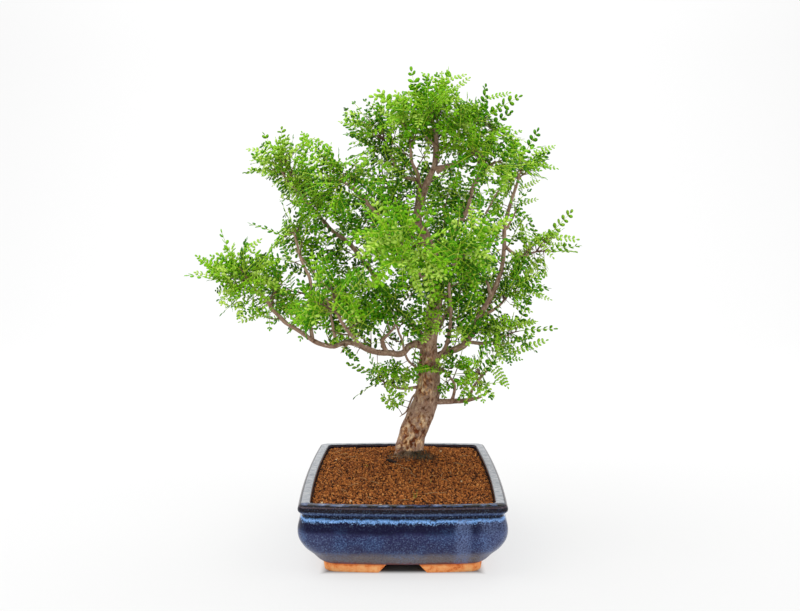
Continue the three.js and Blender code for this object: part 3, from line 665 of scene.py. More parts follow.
@dataclass(frozen=True)
class GlazeFinish(Finish):
    """Run blue glaze: bands by height, broken up by mottling and by streaks that ran down. The dark and
    bright bands on the shoulder, the glints in them and the lip line are painted reflections, and the
    grey top of the rim is a painted reflection of the white room. Heights and places are in metres."""

    roughness: float = 0.2
    sheen: float = 0.13
    slow_scale: float = 38
    run_scale: float = 90
    fine_scale: float = 520
    slow_shift: float = 0.006
    run_shift: float = 0.008
    fine_shift: float = 0.011
    calm_height: float = 0.098
    neck_height: float = 0.092
    relief_depth: float = 0.0012
    base_height: float = 0.0135
    rim_height: float = 0.112
    # dark is also the painted dark reflection band on the shoulder; the bright band and its peak are
    # painted reflections of the lamp above; the lip is a painted highlight line; rim and rim_shade make
    # the painted grey reflection on the rim's top.
    line: str = "6a2c1c"
    low: str = "685e5d"
    middle: str = "282a50"
    dark: str = "06042a"
    pale_blue_and_reflection: str = "5c8cc8"
    highlight_peak: str = "86b4f0"
    roll: str = "181a38"
    stain: str = "46577e"
    edge: str = "120a10"
    lip_highlight: str = "4e3f43"
    rim: str = "aeafb4"
    rim_shade: str = "767c86"
    haze: str = "6d7ea8"
    fleck: str = "a3c4ee"
    front: float = -0.189
    patch_x: float = 0.089
    patch_reach: float = 0.017

    def coloured(self, board: Board) -> Value:
        """Bands by a height that three clouds shift, with flecks, pits, haze and a grey rim. The
        shoulder's dark and bright bands, their glints, the lip line and the grey rim are painted
        reflections.

        Args:
            board: the finish's nodes.

        Returns:
            The colour.
        """
        slow = board.noise(self.slow_scale, 3)
        runs = board.noise(self.run_scale, 4, board.stretched((1.0, 1.0, 0.2)))
        fine = board.noise(self.fine_scale, 5)
        across, back, up = board.parts(board.place)
        shift = (slow - 0.5) * self.slow_shift + (runs - 0.5) * self.run_shift
        shift = shift + (fine - 0.5) * self.fine_shift
        height = up + shift * board.span(up, self.calm_height, self.calm_height - 0.01)
        level = board.span(height, self.base_height, self.rim_height)
        # Painted reflections in the bands: the dark band (0.625 to 0.737) is a painted dark reflection
        # under the shoulder, the bright band and its peak (0.757 to 0.786) are the overhead lamp painted
        # as mirrored on the shoulder, and the lip stop (0.972) is a painted highlight line.
        stops = (
            (0.025, self.line),
            (0.07, self.low),
            (0.155, self.low),
            (0.29, self.middle),
            (0.56, self.middle),
            (0.625, self.dark),
            (0.737, self.dark),
            (0.757, self.pale_blue_and_reflection),
            (0.772, self.highlight_peak),
            (0.786, self.pale_blue_and_reflection),
            (0.803, self.edge),
            (0.845, self.roll),
            (0.882, self.stain),
            (0.91, self.edge),
            (0.958, self.edge),
            (0.972, self.lip_highlight),
            (0.985, self.edge),
        )
        colour = board.ramp(level, stops)
        specks = board.span(fine, 0.5, 0.68)
        # Fleck strength by height: the glaze's own flecks, strongest in the bright band as painted
        # glints.
        fleck_and_glint_by_level = (
            (0.0, "505050"),
            (0.3, "808080"),
            (0.54, "7c7c7c"),
            (0.62, "262626"),
            (0.72, "4c4c4c"),
            (0.765, "e0e0e0"),
            (0.8, "707070"),
            (0.87, "c0c0c0"),
            (0.92, "505050"),
        )
        colour = board.mix(specks * board.ramp(level, fleck_and_glint_by_level), colour, self.fleck)
        pits = board.span(board.noise(480, 2), 0.46, 0.34)
        colour = board.mix(pits * 0.7, colour, self.dark)
        colour = board.mix(self.hazy(board, across, up, fine), colour, self.haze)
        lighter = board.span(board.noise(24, 3), 0.46, 0.62) * board.span(fine, 0.36, 0.6)
        lighter = lighter * board.span(height, 0.085, 0.07)
        colour = board.mix(lighter * 0.2, colour, self.pale_blue_and_reflection)
        # Painted reflection: the grey streaked rim stands for the white room mirrored at a grazing angle
        # on the rim's top at the sides and back; the front rim's top keeps blotched glaze.
        bands = board.noise(420, 3, board.stretched((0.18, 1.0, 1.0)), 0.4)
        grey = board.ramp(bands, ((0.4, self.rim_shade), (0.57, self.rim)))
        blotches = ((0.45, self.edge), (0.6, self.stain), (0.8, self.rim))
        blotched = board.ramp(board.noise(70, 5), blotches)
        top = board.span(up, self.rim_height - 0.0007, self.rim_height - 0.0003)
        sides = board.span(back, self.front - 0.001, self.front + 0.001)
        board.feed(board.shader.inputs["Roughness"], board.span(height, 0.05, 0.02) * 0.3 + 0.16)
        board.bump(slow + fine * 0.12, self.relief_depth, 0.4)
        return board.mix(top, colour, board.mix(sides, blotched, grey))

    def hazy(self, board: Board, across: Value, up: Value, fine: Value) -> Value:
        """Where the glaze is paler: a mottled run right of the middle, and towards both ends.

        Args:
            board: the finish's nodes.
            across: the place along X.
            up: the place along Z.
            fine: the finest cloud.

        Returns:
            How pale it is, from 0 to 1.
        """
        away = abs(across - self.patch_x)
        run = board.span(away, self.patch_reach, 0.3 * self.patch_reach, smooth=True)
        right = board.span(across, 0.106, 0.126, smooth=True) * 0.8
        left = board.span(across, -0.085, -0.125, smooth=True) * 0.4 * board.span(up, 0.074, 0.064)
        share = board.math("MAXIMUM", run, board.math("MAXIMUM", right, left))
        mottling = board.ramp(fine, ((0.38, "606060"), (0.62, "d0d0d0")))
        return share * mottling * board.span(up, self.neck_height + 0.001, self.neck_height - 0.001)


@dataclass(frozen=True)
class ClayFinish(Finish):
    """Bare fired clay of the feet and the base, darker towards the glaze. Heights are in metres."""

    light: str = "ffbe7c"
    body: str = "f69652"
    dark_clay: str = "c05624"
    cloud_scale: float = 90
    speck_scale: float = 700
    dark_from: float = 0.0095
    dark_to: float = 0.0135

    def coloured(self, board: Board) -> Value:
        """Clouded clay, darker at the top.

        Args:
            board: the finish's nodes.

        Returns:
            The colour.
        """
        cloud = board.noise(self.cloud_scale, 5) + (board.noise(self.speck_scale, 3) - 0.5) * 0.5
        colour = board.ramp(cloud, ((0.3, self.dark_clay), (0.44, self.body), (0.66, self.light)))
        # Darker towards the top of the feet, where they meet the glazed body.
        top = board.span(board.parts(board.place)[2], self.dark_from, self.dark_to)
        board.bump(board.noise(1500, 3), 0.0003, 0.6)
        return board.mix(top * 0.6, colour, self.dark_clay)


@dataclass(frozen=True)
class GranuleFinish(Finish):
    """Fired soil granules. Look x picks the tone of a granule, from dark to pale."""

    black: str = "2a180e"
    dark: str = "64361a"
    body: str = "a05e2e"
    orange: str = "c67c3c"
    pale: str = "d6a468"
    roughness: float = 0.92
    sheen: float = 0.15
    grit_scale: float = 1400
    grit_depth: float = 0.0006

    def coloured(self, board: Board) -> Value:
        """The granule's tone, with grit in it.

        Args:
            board: the finish's nodes.

        Returns:
            The colour.
        """
        grit = board.noise(self.grit_scale, 3)
        tones = (self.black, self.dark, self.body, self.orange, self.pale)
        board.bump(grit, self.grit_depth, 0.7)
        stops = tuple(zip((0.0, 0.2, 0.55, 0.85, 1.0), tones))
        return board.ramp(board.look()[0] + (grit - 0.5) * 0.3, stops)


@dataclass(frozen=True)
class PlainFinish(Finish):
    """One slightly cloudy tone."""

    light: str
    dark: str
    scale: float = 300
    roughness: float = 0.8
    depth: float = 0.0003
    sheen: float = 0.3

    def coloured(self, board: Board) -> Value:
        """Light and dark by one cloud."""
        cloud = board.noise(self.scale, 4)
        board.bump(cloud, self.depth, 0.6)
        return board.ramp(cloud, ((0.35, self.dark), (0.65, self.light)))


# Pot


@dataclass(frozen=True)
class Level:
    """One level of the pot's wall: inset from the rim's outline, height and corner radius, in mm."""

    inset: float
    height: float
    corner: float


@dataclass
class GlazedPot:
    """The footed pot, in millimetres as its source is."""

    width: float = 310
    length: float = 410
    height: float = 112
    bow_x: float = 6
    bow_y: float = 8
    foot_height: float = 13.5
    foot_inset: float = 34
    foot_wall: float = 16
    arch_front: float = 37
    arch_side: float = 68
    arch_slope: float = 12
    drain_radius: float = 12.5
    drain_spacing: float = 190
    rim_flat: float = 17
    corner_steps: int = 12
    side_steps: int = 28
    wall_spacing: float = 1.8
    sharp_angle: float = 42
    wall: tuple[Level, ...] = (
        Level(34, 13.5, 18),
        Level(30, 15.5, 22),
        Level(18, 28.5, 28),
        Level(7, 41, 30),
        Level(-0.5, 56, 30),
        Level(-2, 69, 28),
        Level(0.5, 83, 24),
        Level(4.6, 92, 16),
        Level(6.6, 94.2, 13),
        Level(3.5, 97.2, 12),
        Level(-0.5, 101.5, 12),
        Level(-0.5, 107, 12),
        Level(2.2, 110.8, 10),
        Level(6, 111.9, 9),
        Level(10.5, 112, 9),
        Level(15.2, 111.8, 8.5),
        Level(16.8, 110.2, 8),
        Level(17, 104, 8),
        Level(17, 98, 8),
        Level(15, 68, 16),
        Level(20, 48, 18),
        Level(31, 36, 16),
        Level(46, 24.5, 12),
    )

    def rings(self, levels: Array) -> Array:
        """Outlines at several levels: rectangles with round corners, sides bowed outwards by
        bow (1 - (distance along the side / half side)^2).

        Args:
            levels: rows (inset, height, corner radius).

        Returns:
            Points (levels, points, 3) in metres, counter-clockwise seen from above.
        """
        half = np.stack([self.width / 2 - levels[:, 0], self.length / 2 - levels[:, 0]], axis=1)
        corner = levels[:, 2]
        turns = np.linspace(0, 90, self.corner_steps + 1)
        parts = []
        for quarter, (sx, sy) in enumerate(((1, 1), (-1, 1), (-1, -1), (1, -1))):
            angle = np.radians(turns + 90 * quarter)
            centre = (half - corner[:, None]) * np.array([sx, sy])
            spoke = np.stack([np.cos(angle), np.sin(angle)], axis=-1)
            arc = centre[:, None] + corner[:, None, None] * spoke
            following = ((-1, 1), (-1, -1), (1, -1), (1, 1))[quarter]
            towards = np.radians(90 * (quarter + 1))
            end = (half - corner[:, None]) * np.array(following)
            end = end + corner[:, None] * np.array([math.cos(towards), math.sin(towards)])
            share = np.arange(1, self.side_steps)[None, :, None] / self.side_steps
            parts += [arc, arc[:, -1:] * (1 - share) + end[:, None] * share]
        flat = np.concatenate(parts, axis=1)
        x, y = flat[..., 0], flat[..., 1]
        half_x, half_y = half[:, :1], half[:, 1:]
        bowed_x = x + self.bow_x * x * (1 - (y / half_y) ** 2) / half_x
        bowed_y = y + self.bow_y * y * (1 - (x / half_x) ** 2) / half_y
        z = np.broadcast_to(levels[:, 1:2], x.shape)
        return np.stack([bowed_x, bowed_y, z], axis=-1) * MM

    def body_levels(self) -> Array:
        """The wall's levels, made smooth: a cubic curve through (inset, height), with the corner
        radius carried along."""
        rows = np.array([(one.inset, one.height, 0.0, one.corner) for one in self.wall])
        return smooth_route(rows, self.wall_spacing)[:, [0, 1, 3]]

    def foot_ring(self) -> Skin:
        """The ring that the feet are cut from: outer wall up, inner wall down.

        Returns:
            The ring's skin.
        """
        inner = self.foot_inset + self.foot_wall
        rows = [
            (inner, 0.0, 10),
            (self.foot_inset + 2.6, 0.0, 15.5),
            (self.foot_inset + 2, 0.6, 16),
            (self.foot_inset, self.foot_height + 0.6, 18),
            (inner, self.foot_height + 0.6, 10),
        ]
        rings = self.rings(np.array(rows))
        columns = rings.shape[1]
        faces = grid_faces(len(rows) + 1, columns) % (len(rows) * columns)
        return Skin(rings.reshape(-1, 3), faces, 1)

    def arch(self, half_width: float, reach: float, along_x: bool) -> Skin:
        """The opening between two feet: a trapezoid carried along one axis.

        Args:
            half_width: half of its width at the table, in mm.
            reach: how far it goes to either side of the middle, in mm.
            along_x: whether it goes along X rather than Y.

        Returns:
            The opening's skin.
        """
        low = -1.0
        slope = self.arch_slope / self.foot_height
        outline = np.array(
            [
                (-half_width - slope, low),
                (half_width + slope, low),
                (half_width - self.arch_slope, self.foot_height),
                (self.arch_slope - half_width, self.foot_height),
            ]
        )
        ends = np.array([[reach], [-reach]])
        across, height, along = np.broadcast_arrays(outline[None, :, 0], outline[None, :, 1], ends)
        points = np.stack([-along, across, height] if along_x else [across, along, height], axis=-1)
        faces = np.concatenate([grid_faces(2, 4), [(0, 2, 1), (0, 3, 2), (4, 5, 6), (4, 6, 7)]])
        return Skin(points.reshape(-1, 3) * MM, faces)

    def drain(self, side: int) -> Skin:
        """A round bar through the floor, as wide as a drain hole."""
        middle = side * self.drain_spacing / 2
        path = np.array([[(0, middle, 5), (0, middle, 20), (0, middle, 40)]], float) * MM
        return tubes(path, np.full((1, 3), self.drain_radius * MM), 40)

    def cut(self, skin: Skin, cutters: Sequence[Skin]) -> Skin:
        """Takes the cutters out of a skin.

        Args:
            skin: the skin that is cut.
            cutters: closed skins.

        Returns:
            What is left, with the skin's finish.
        """
        target = loose_object(skin)
        tools = [loose_object(cutter) for cutter in cutters]
        for tool in tools:
            change = target.modifiers.new("cut", "BOOLEAN")
            change.operation = "DIFFERENCE"
            change.solver = "EXACT"
            change.object = tool
        shape = target.evaluated_get(bpy.context.evaluated_depsgraph_get()).to_mesh()
        shape.calc_loop_triangles()
        points = np.empty(len(shape.vertices) * 3, np.float32)
        shape.vertices.foreach_get("co", points)
        faces = np.empty(len(shape.loop_triangles) * 3, np.int32)
        shape.loop_triangles.foreach_get("vertices", faces)
        for one in (target, *tools):
            bpy.data.objects.remove(one)
        return Skin(points.reshape(-1, 3).astype(float), faces.reshape(-1, 3), skin.finish)

    def build(self) -> None:
        """Makes the pot in place of its plain solid."""
        body = self.cut(lofted(self.rings(self.body_levels())), [self.drain(-1), self.drain(1)])
        arches = [
            self.arch(self.arch_front, self.length, False),
            self.arch(self.arch_side, self.width, True),
        ]
        feet = self.cut(self.foot_ring(), arches)
        finishes = [GlazeFinish().build("run_glaze"), ClayFinish().build("bare_clay")]
        piece = make_piece("glazed_pot", [body, feet], finishes)
        piece.data.set_sharp_from_angle(angle=math.radians(self.sharp_angle))
        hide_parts("pot")


def loose_object(skin: Skin) -> bpy.types.Object:
    """Makes a scratch object of a skin, for cutting.

    Args:
        skin: the skin.

    Returns:
        The object.
    """
    mesh = bpy.data.meshes.new("scratch")
    mesh.from_pydata(skin.points.tolist(), [], skin.faces.tolist())
    mesh.update()
    scratch = bpy.data.objects.new("scratch", mesh)
    bpy.context.scene.collection.objects.link(scratch)
    return scratch


# Soil


@dataclass
class SoilBed:
    """Granular soil: a bed that rises to the foot of the trunk, under loose granules, in mm."""

    pot: GlazedPot
    edge_height: float = 105
    edge_gap: float = 0.5
    mound: float = 18
    mound_radius: float = 72
    collar: float = 12
    collar_radius: float = 33
    fade_width: float = 24
    foot: tuple[float, float] = (12, 90)
    bare_radius: float = 21
    spacing: float = 2.95
    grain_radius: float = 1.55
    seed: int = 71
    pebbles: tuple[tuple[float, float, float], ...] = (
        (-122, -172, 2.6),
        (-79, -165, 2.6),
        (-51, -186, 3.2),
        (-33, -183, 2.8),
        (96, -60, 2.2),
        (70, 120, 2.4),
        (-118, 84, 2.2),
    )
    orange_pebbles: tuple[tuple[float, float, float], ...] = ((-2, -140, 4.6), (-66, -178, 2.8))
    lumps: tuple[tuple[float, float, float], ...] = ((-20, 42, 5.4), (-14, 36, 4.2), (-26, 46, 3.6))
    relief: Relief = field(default_factory=lambda: Relief(5))

    def height_at(self, x: Array, y: Array) -> Array:
        """Height of the bed: edge + mound / (1 + (distance to the foot / radius)^2) and a mossy
        collar exp(-(distance / radius)^2), faded out at the wall, with low humps.

        Args:
            x: places along X in mm.
            y: places along Y in mm.

        Returns:
            Heights in mm.
        """
        away = np.hypot(x - self.foot[0], y - self.foot[1])
        side = self.pot.width / 2 - self.pot.rim_flat - np.abs(x)
        wall = np.minimum(side, self.pot.length / 2 - self.pot.rim_flat - np.abs(y))
        fade = np.clip(np.minimum(wall, self.fade_width) / self.fade_width + 0.15, 0, 1)
        humps = self.relief.layered(np.stack([x / 38, y / 38, 0 * x], axis=-1), 2)
        rise = self.mound / (1 + (away / self.mound_radius) ** 2)
        rise = rise + self.collar * np.exp(-((away / self.collar_radius) ** 2))
        return self.edge_height + fade * (rise + 1.2 * humps)

    def inside(self, x: Array, y: Array, margin: float) -> Array:
        """Tells which places lie inside the pot's bowed, round-cornered inner wall.

        Args:
            x: places along X in mm.
            y: places along Y in mm.
            margin: how far from the wall they must stay, in mm.

        Returns:
            True where a place is inside.
        """
        half_x = self.pot.width / 2 - self.pot.rim_flat - margin
        half_y = self.pot.length / 2 - self.pot.rim_flat - margin
        flat_x = np.abs(x) / (1 + self.pot.bow_x * (1 - (y / half_y) ** 2) / half_x)
        flat_y = np.abs(y) / (1 + self.pot.bow_y * (1 - (x / half_x) ** 2) / half_y)
        corner = 8
        out_x = np.maximum(flat_x - (half_x - corner), 0)
        out_y = np.maximum(flat_y - (half_y - corner), 0)
        return np.hypot(out_x, out_y) <= corner

    def bed(self) -> None:
        """Makes the closed bed: outlines of the pot's inside from its floor up, then rings that
        close in on the foot of the trunk."""
        gap = self.edge_gap
        rows = [(46 + gap, 25, 12), (20 + gap, 48, 18), (15 + gap, 68, 16), (17 + gap, 98, 8)]
        rows.append((17 + gap, self.edge_height, 8))
        rings = self.pot.rings(np.array(rows, float)) / MM
        shares = np.linspace(1, 0.02, 70)[1:, None, None]
        foot = np.array([*self.foot, 0.0])
        inner = foot + shares * (rings[-1:] - foot)
        inner[..., 2] = self.height_at(inner[..., 0], inner[..., 1]) - 1.3
        skin = lofted(np.concatenate([rings, inner]) * MM)
        finish = PlainFinish("5a3219", "231208", 700, 0.95, 0.0008).build("soil_fines")
        piece = make_piece("soil_bed", [skin], [finish])
        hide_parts("soil")

    def stones(
        self, places: Array, radii: Array, looks: Array, rng: np.random.Generator, finish: int = 0
    ) -> Skin:
        """Rough stones: a ring of six points and two poles, stretched, dented and turned at random.

        Args:
            places: middles (n, 3).
            radii: sizes (n,).
            looks: tones from 0 to 1 (n,).
            rng: the draws.
            finish: the number of the finish.

        Returns:
            The stones' skin.
        """
        angle = np.radians(60 * np.arange(6))
        tilt = np.array([0.3, -0.3] * 3)
        ring = np.stack([np.cos(angle), np.sin(angle), tilt], axis=-1)
        ball = np.concatenate([ring, [(0, 0, 0.9), (0, 0, -0.9)]])
        step = np.arange(6)
        after = (step + 1) % 6
        top, foot = np.full(6, 6), np.full(6, 7)
        sides = np.concatenate(
            [np.stack([step, after, top], axis=-1), np.stack([after, step, foot], axis=-1)]
        )
        count = len(places)
        first = unit(rng.normal(size=(count, 3)))
        second = unit(np.cross(first, rng.normal(size=(count, 3))))
        turn = np.stack([first, second, np.cross(first, second)], axis=1)
        stretch = rng.uniform(0.72, 1.2, (count, 1, 3))
        dents = rng.uniform(0.78, 1.16, (count, len(ball), 1))
        local = ball[None] * stretch * dents * radii[:, None, None]
        points = places[:, None] + local @ turn
        faces = sides[None] + np.arange(count)[:, None, None] * len(ball)
        look = np.zeros((count, len(ball), 3))
        look[..., 0] = looks[:, None]
        return Skin(points.reshape(-1, 3), faces.reshape(-1, 3), finish, look.reshape(-1, 3))

    def granules(self) -> None:
        """Scatters granules on a jittered grid over the bed."""
        rng = np.random.default_rng(self.seed)
        halves = (self.pot.width / 2, self.pot.length / 2)
        xs, ys = np.meshgrid(*(np.arange(-half, half, self.spacing) for half in halves))
        x = (xs + rng.uniform(-0.5, 0.5, xs.shape) * self.spacing).ravel()
        y = (ys + rng.uniform(-0.5, 0.5, ys.shape) * self.spacing).ravel()
        keep = self.inside(x, y, 2.2)
        keep &= np.hypot(x - self.foot[0] - 1, y - self.foot[1]) > self.bare_radius
        x, y = x[keep], y[keep]
        radii = np.clip(self.grain_radius * np.exp(rng.normal(0, 0.26, len(x))), 0.9, 3.0)
        z = self.height_at(x, y) - 0.6 + rng.uniform(-0.8, 0.9, len(x))
        looks = np.clip(rng.normal(0.54, 0.24, len(x)), 0, 0.88)
        looks[rng.random(len(x)) < 0.07] = 0.04
        places = np.stack([x, y, z], axis=-1) * MM
        finish = GranuleFinish().build("fired_granules")
        for name, half in (("front", y < 0), ("back", y >= 0)):
            skin = self.stones(places[half], radii[half] * MM, looks[half], rng)
            make_piece(f"soil_granules_{name}", [skin], [finish])

    def oddments(self) -> None:
        """Lays a few larger pebbles, straws and grass blades on the granules."""
        rng = np.random.default_rng(self.seed + 1)
        skins = self.straws(rng)
        for finish, rows in ((0, self.pebbles), (3, self.orange_pebbles), (4, self.lumps)):
            x, y, radii = np.array(rows).T
            places = np.stack([x, y, self.height_at(x, y) + 0.8], axis=-1) * MM
            skins.append(self.stones(places, radii * MM, np.zeros(len(x)), rng, finish))
        finishes = [
            PlainFinish("f0d6ac", "c79a62", 500, 0.7).build("pale_pebbles"),
            PlainFinish("c9a878", "8e6a40", 900, 0.8).build("dry_straw"),
            PlainFinish("8fae46", "5f7f2c", 700, 0.6).build("grass_blades"),
            PlainFinish("cf8240", "a05c28", 500, 0.8).build("orange_pebbles"),
            PlainFinish("2e211b", "140d0a", 500, 0.9).build("dark_lumps"),
        ]
        make_piece("soil_oddments", skins, finishes)

    def straws(self, rng: np.random.Generator) -> list[Skin]:
        """Thin straws and roots that lie on the soil, and grass blades that stand in it.

        Args:
            rng: the draws.

        Returns:
            The straws' skin, with finish 1, and the blades', with finish 2.
        """
        count = 26
        x, y = rng.uniform(-120, 120, count), rng.uniform(-170, 150, count)
        way = rng.uniform(0, 2 * np.pi, count)
        reach = rng.uniform(5, 12, count)
        run = np.linspace(-1, 1, 6)
        px = x[:, None] + np.cos(way)[:, None] * run * reach[:, None]
        py = y[:, None] + np.sin(way)[:, None] * run * reach[:, None] + 2 * run**2
        pz = self.height_at(px, py) + 1.6 + 1.2 * (1 - run**2)
        lying = np.stack([px, py, pz], axis=-1) * MM
        skins = [tubes(lying, np.full((count, 6), 0.35 * MM), 4, 1)]
        feet = np.array([(19, -150), (21, -149), (17, -151), (-62, 30), (46, -62), (-60, 28)], float)
        rise = np.linspace(0, 1, 6)[None]
        lean = rng.uniform(-6, 6, (len(feet), 2))
        gx = feet[:, :1] + lean[:, :1] * rise**2
        gy = feet[:, 1:] + lean[:, 1:] * rise**2
        tall = np.array([11, 14, 9, 5, 4, 4], float)[:, None]
        gz = self.height_at(gx, gy) + tall * rise
        blades = np.stack([gx, gy, gz], axis=-1) * MM
        radii = 0.5 * MM * (1 - 0.8 * rise) * np.ones((len(feet), 1))
        return [*skins, tubes(blades, radii, 4, 2)]

    def moss(self) -> None:
        """A grey-green mossy pad beside the foot of the trunk: short tufts, thick as felt. Its right
        part is darker: darker moss, with painted shade beside the trunk's foot.
        """
        rng = np.random.default_rng(self.seed + 2)
        count = 1500
        spread = rng.normal(size=(count, 2)) * np.array([18, 9]) + np.array([19, 62])
        spread = spread[np.hypot(spread[:, 0] - 13, spread[:, 1] - 90) > self.bare_radius]
        x, y = spread[:, 0], spread[:, 1]
        base = np.stack([x, y, self.height_at(x, y) + 0.4], axis=-1)
        sideways, rise = rng.uniform(-1.5, 1.5, (len(x), 2)), rng.uniform(1.2, 3.4, (len(x), 1))
        lean = np.concatenate([sideways, rise], axis=1)
        shares = np.array([0.0, 0.55, 1.0])[None, :, None]
        paths = (base[:, None] + lean[:, None] * shares) * MM
        radii = np.broadcast_to(np.array([0.42, 0.34, 0.1]) * MM, paths.shape[:2])
        # The right part takes the dark finish: darker moss, partly painted shade beside the trunk's foot.
        right = x + rng.normal(0, 4, len(x)) > 15
        sides = ((0, ~right), (1, right))
        skins = [tubes(paths[side], radii[side], 3, finish) for finish, side in sides]
        finishes = [
            PlainFinish("a08b74", "67503c", 160, 0.95).build("dry_moss"),
            PlainFinish("6a5f4a", "1c1710", 110, 0.95).build("dark_moss"),
        ]
        make_piece("moss_pad", skins, finishes)

    def build(self) -> None:
        """Makes every piece of the soil."""
        self.bed()
        self.granules()
        self.oddments()
        self.moss()


# Tree

Places = list[tuple[float, float, float, float]]


@dataclass(frozen=True)
class Cloud:
    """A mass of foliage, in mm: its middle, half sizes, the limbs that feed it, the number of its
    sprays, and whether its growth is young and pale."""

    middle: tuple[float, float, float]
    half: tuple[float, float, float]
    limbs: tuple[str, ...]
    sprays: int
    young: bool = False


TRUNK: Places = [
    (13, 90, 134, 25), (17, 90, 149, 24), (29, 88, 182, 23.5), (45, 84, 232, 21),
    (47, 80, 278, 19.5), (46, 76, 307, 15), (53, 68, 361, 13.5), (58, 60, 405, 12.5),
    (58, 52, 449, 11.5), (49, 45, 487, 10), (33, 40, 518, 8.5), (24, 36, 541, 7),
    (28, 33, 560, 6.2), (35, 30, 580, 5.8), (43, 26, 601, 5.4), (51, 23, 618, 5),
    (56, 17, 652, 4), (54, 10, 684, 3), (51, 8, 697, 2.4),
]

LIMBS: dict[str, Places] = {
    "low_left": [
        (33, 76, 318, 7), (15, 72, 317, 5.6), (1, 64, 303, 5.4), (-27, 50, 305, 5.2),
        (-57, 35, 312, 4.4), (-93, 18, 328, 4.2), (-117, 5, 322, 4), (-146, -8, 332, 3.8),
        (-170, -18, 352, 3.5), (-201, -30, 374, 3.3), (-221, -40, 403, 3), (-245, -52, 431, 2.4),
    ],
    "low_left_riser": [
        (-150, -10, 334, 3.2), (-156, -4, 385, 2.9), (-153, -8, 432, 2.7), (-171, 10, 473, 2.3),
        (-185, 30, 518, 1.9),
    ],
    "low_left_fork": [
        (-40, 44, 307, 3.6), (-66, 4, 324, 3), (-86, -52, 352, 2.6), (-104, -104, 392, 2.1),
    ],
    "crooked_stump": [
        (-27, 50, 305, 4), (-35, 48, 328, 3.6), (-28, 44, 336, 2.4), (-14, 40, 352, 2),
        (-9, 36, 388, 1.8),
    ],
    "upper_left": [
        (42, 76, 322, 5.5), (12, 80, 360, 4.6), (-18, 84, 390, 4.4), (-56, 90, 446, 4),
        (-96, 96, 495, 3.7), (-125, 99, 518, 3.4), (-158, 104, 554, 3), (-185, 108, 586, 2.7),
        (-201, 110, 602, 2.4), (-216, 113, 626, 2),
    ],
    "crown": [
        (30, 38, 530, 6), (-4, 25, 514, 4.4), (-54, -5, 557, 3.5), (-70, -15, 576, 3),
        (-98, -30, 597, 2.2),
    ],
    "crown_back": [
        (2, 28, 517, 3.6), (-6, 38, 550, 3), (-18, 50, 582, 2.6), (-34, 62, 612, 2.1),
    ],
    "left_leader": [
        (25, 36, 545, 4.6), (25, 22, 609, 3.4), (16, 15, 629, 2.9), (12, 8, 662, 2.2),
    ],
    "far_left_leader": [
        (25, 24, 600, 3.2), (-5, 26, 611, 2.8), (-18, 32, 638, 2.5), (-30, 40, 666, 2),
    ],
    "right_fork": [
        (52, 22, 620, 3.6), (85, 5, 626, 2.8), (112, -14, 637, 2.1),
    ],
    "dark_branch": [
        (57, 18, 640, 3.2), (73, 28, 657, 2.8), (94, 38, 675, 2.5), (118, 50, 688, 2),
    ],
    "right_main": [
        (44, 80, 282, 8), (72, 82, 300, 6.4), (109, 87, 315, 5.8), (134, 96, 360, 5),
        (163, 108, 411, 4.5), (180, 118, 455, 4), (183, 126, 491, 3.7), (185, 134, 532, 3.3),
        (204, 146, 590, 2.8), (215, 156, 625, 2.2),
    ],
    "right_frond_fork": [
        (183, 126, 488, 3), (214, 142, 470, 2.5), (246, 160, 478, 2),
    ],
    "inner_fork": [
        (158, 106, 402, 3), (145, 96, 436, 2.4), (124, 84, 470, 2),
    ],
    "right_low_twig": [
        (138, 97, 366, 3), (170, 118, 378, 2.5), (192, 132, 402, 2),
    ],
    "right_lowest_twig": [
        (112, 88, 320, 3.2), (150, 100, 317, 2.6), (188, 110, 330, 2),
    ],
    "inner_riser": [
        (48, 79, 280, 4.6), (72, 74, 306, 3.6), (82, 60, 348, 3.2), (83, 40, 385, 2.9),
        (78, 10, 420, 2.4), (84, -30, 452, 2),
    ],
    "upper_right": [
        (57, 50, 455, 5), (84, 36, 509, 3.9), (108, 20, 551, 3.3), (115, 8, 578, 2.9),
        (132, -8, 616, 2.1),
    ],
    "low_right": [
        (44, 84, 214, 5.6), (87, 72, 217, 4.7), (108, 62, 220, 3.9), (138, 50, 228, 2.6),
    ],
    "low_right_riser": [
        (87, 72, 217, 3), (92, 68, 243, 2.6), (76, 56, 272, 2),
    ],
    "low_right_outer": [
        (116, 58, 222, 2.8), (124, 50, 246, 2.4), (146, 40, 276, 2),
    ],
    "low_left_small": [
        (34, 84, 240, 3), (-8, 74, 240, 2.3), (-30, 66, 250, 1.9),
    ],
    "dark_twig": [
        (34, 88, 232, 2.6), (20, 90, 224, 2), (12, 91, 206, 1.7), (7, 92, 195, 1.5),
        (-5, 94, 185, 1.3),
    ],
    "thin_shoot": [
        (34, 80, 268, 2.8), (10, 66, 292, 2.1), (-3, 54, 332, 1.9), (-20, 30, 384, 1.7),
    ],
    "front": [
        (58, 58, 420, 6), (40, 0, 436, 4.6), (20, -70, 456, 3.8), (8, -130, 470, 3),
        (8, -180, 488, 2.2),
    ],
    "front_right": [
        (37, -10, 438, 3.6), (68, -70, 452, 3), (92, -118, 478, 2.2),
    ],
    "back": [
        (57, 50, 458, 6), (67, 120, 496, 4.6), (81, 176, 536, 3.6), (76, 214, 572, 2.4),
    ],
    "back_left": [
        (66, 112, 492, 3.8), (5, 154, 510, 3), (-48, 182, 524, 2.2),
    ],
    "back_right": [
        (80, 172, 533, 3), (127, 200, 556, 2.2),
    ],
    "low_back": [
        (47, 72, 320, 5.4), (77, 130, 362, 4.2), (99, 180, 388, 3.2), (112, 214, 408, 2.4),
    ],
}

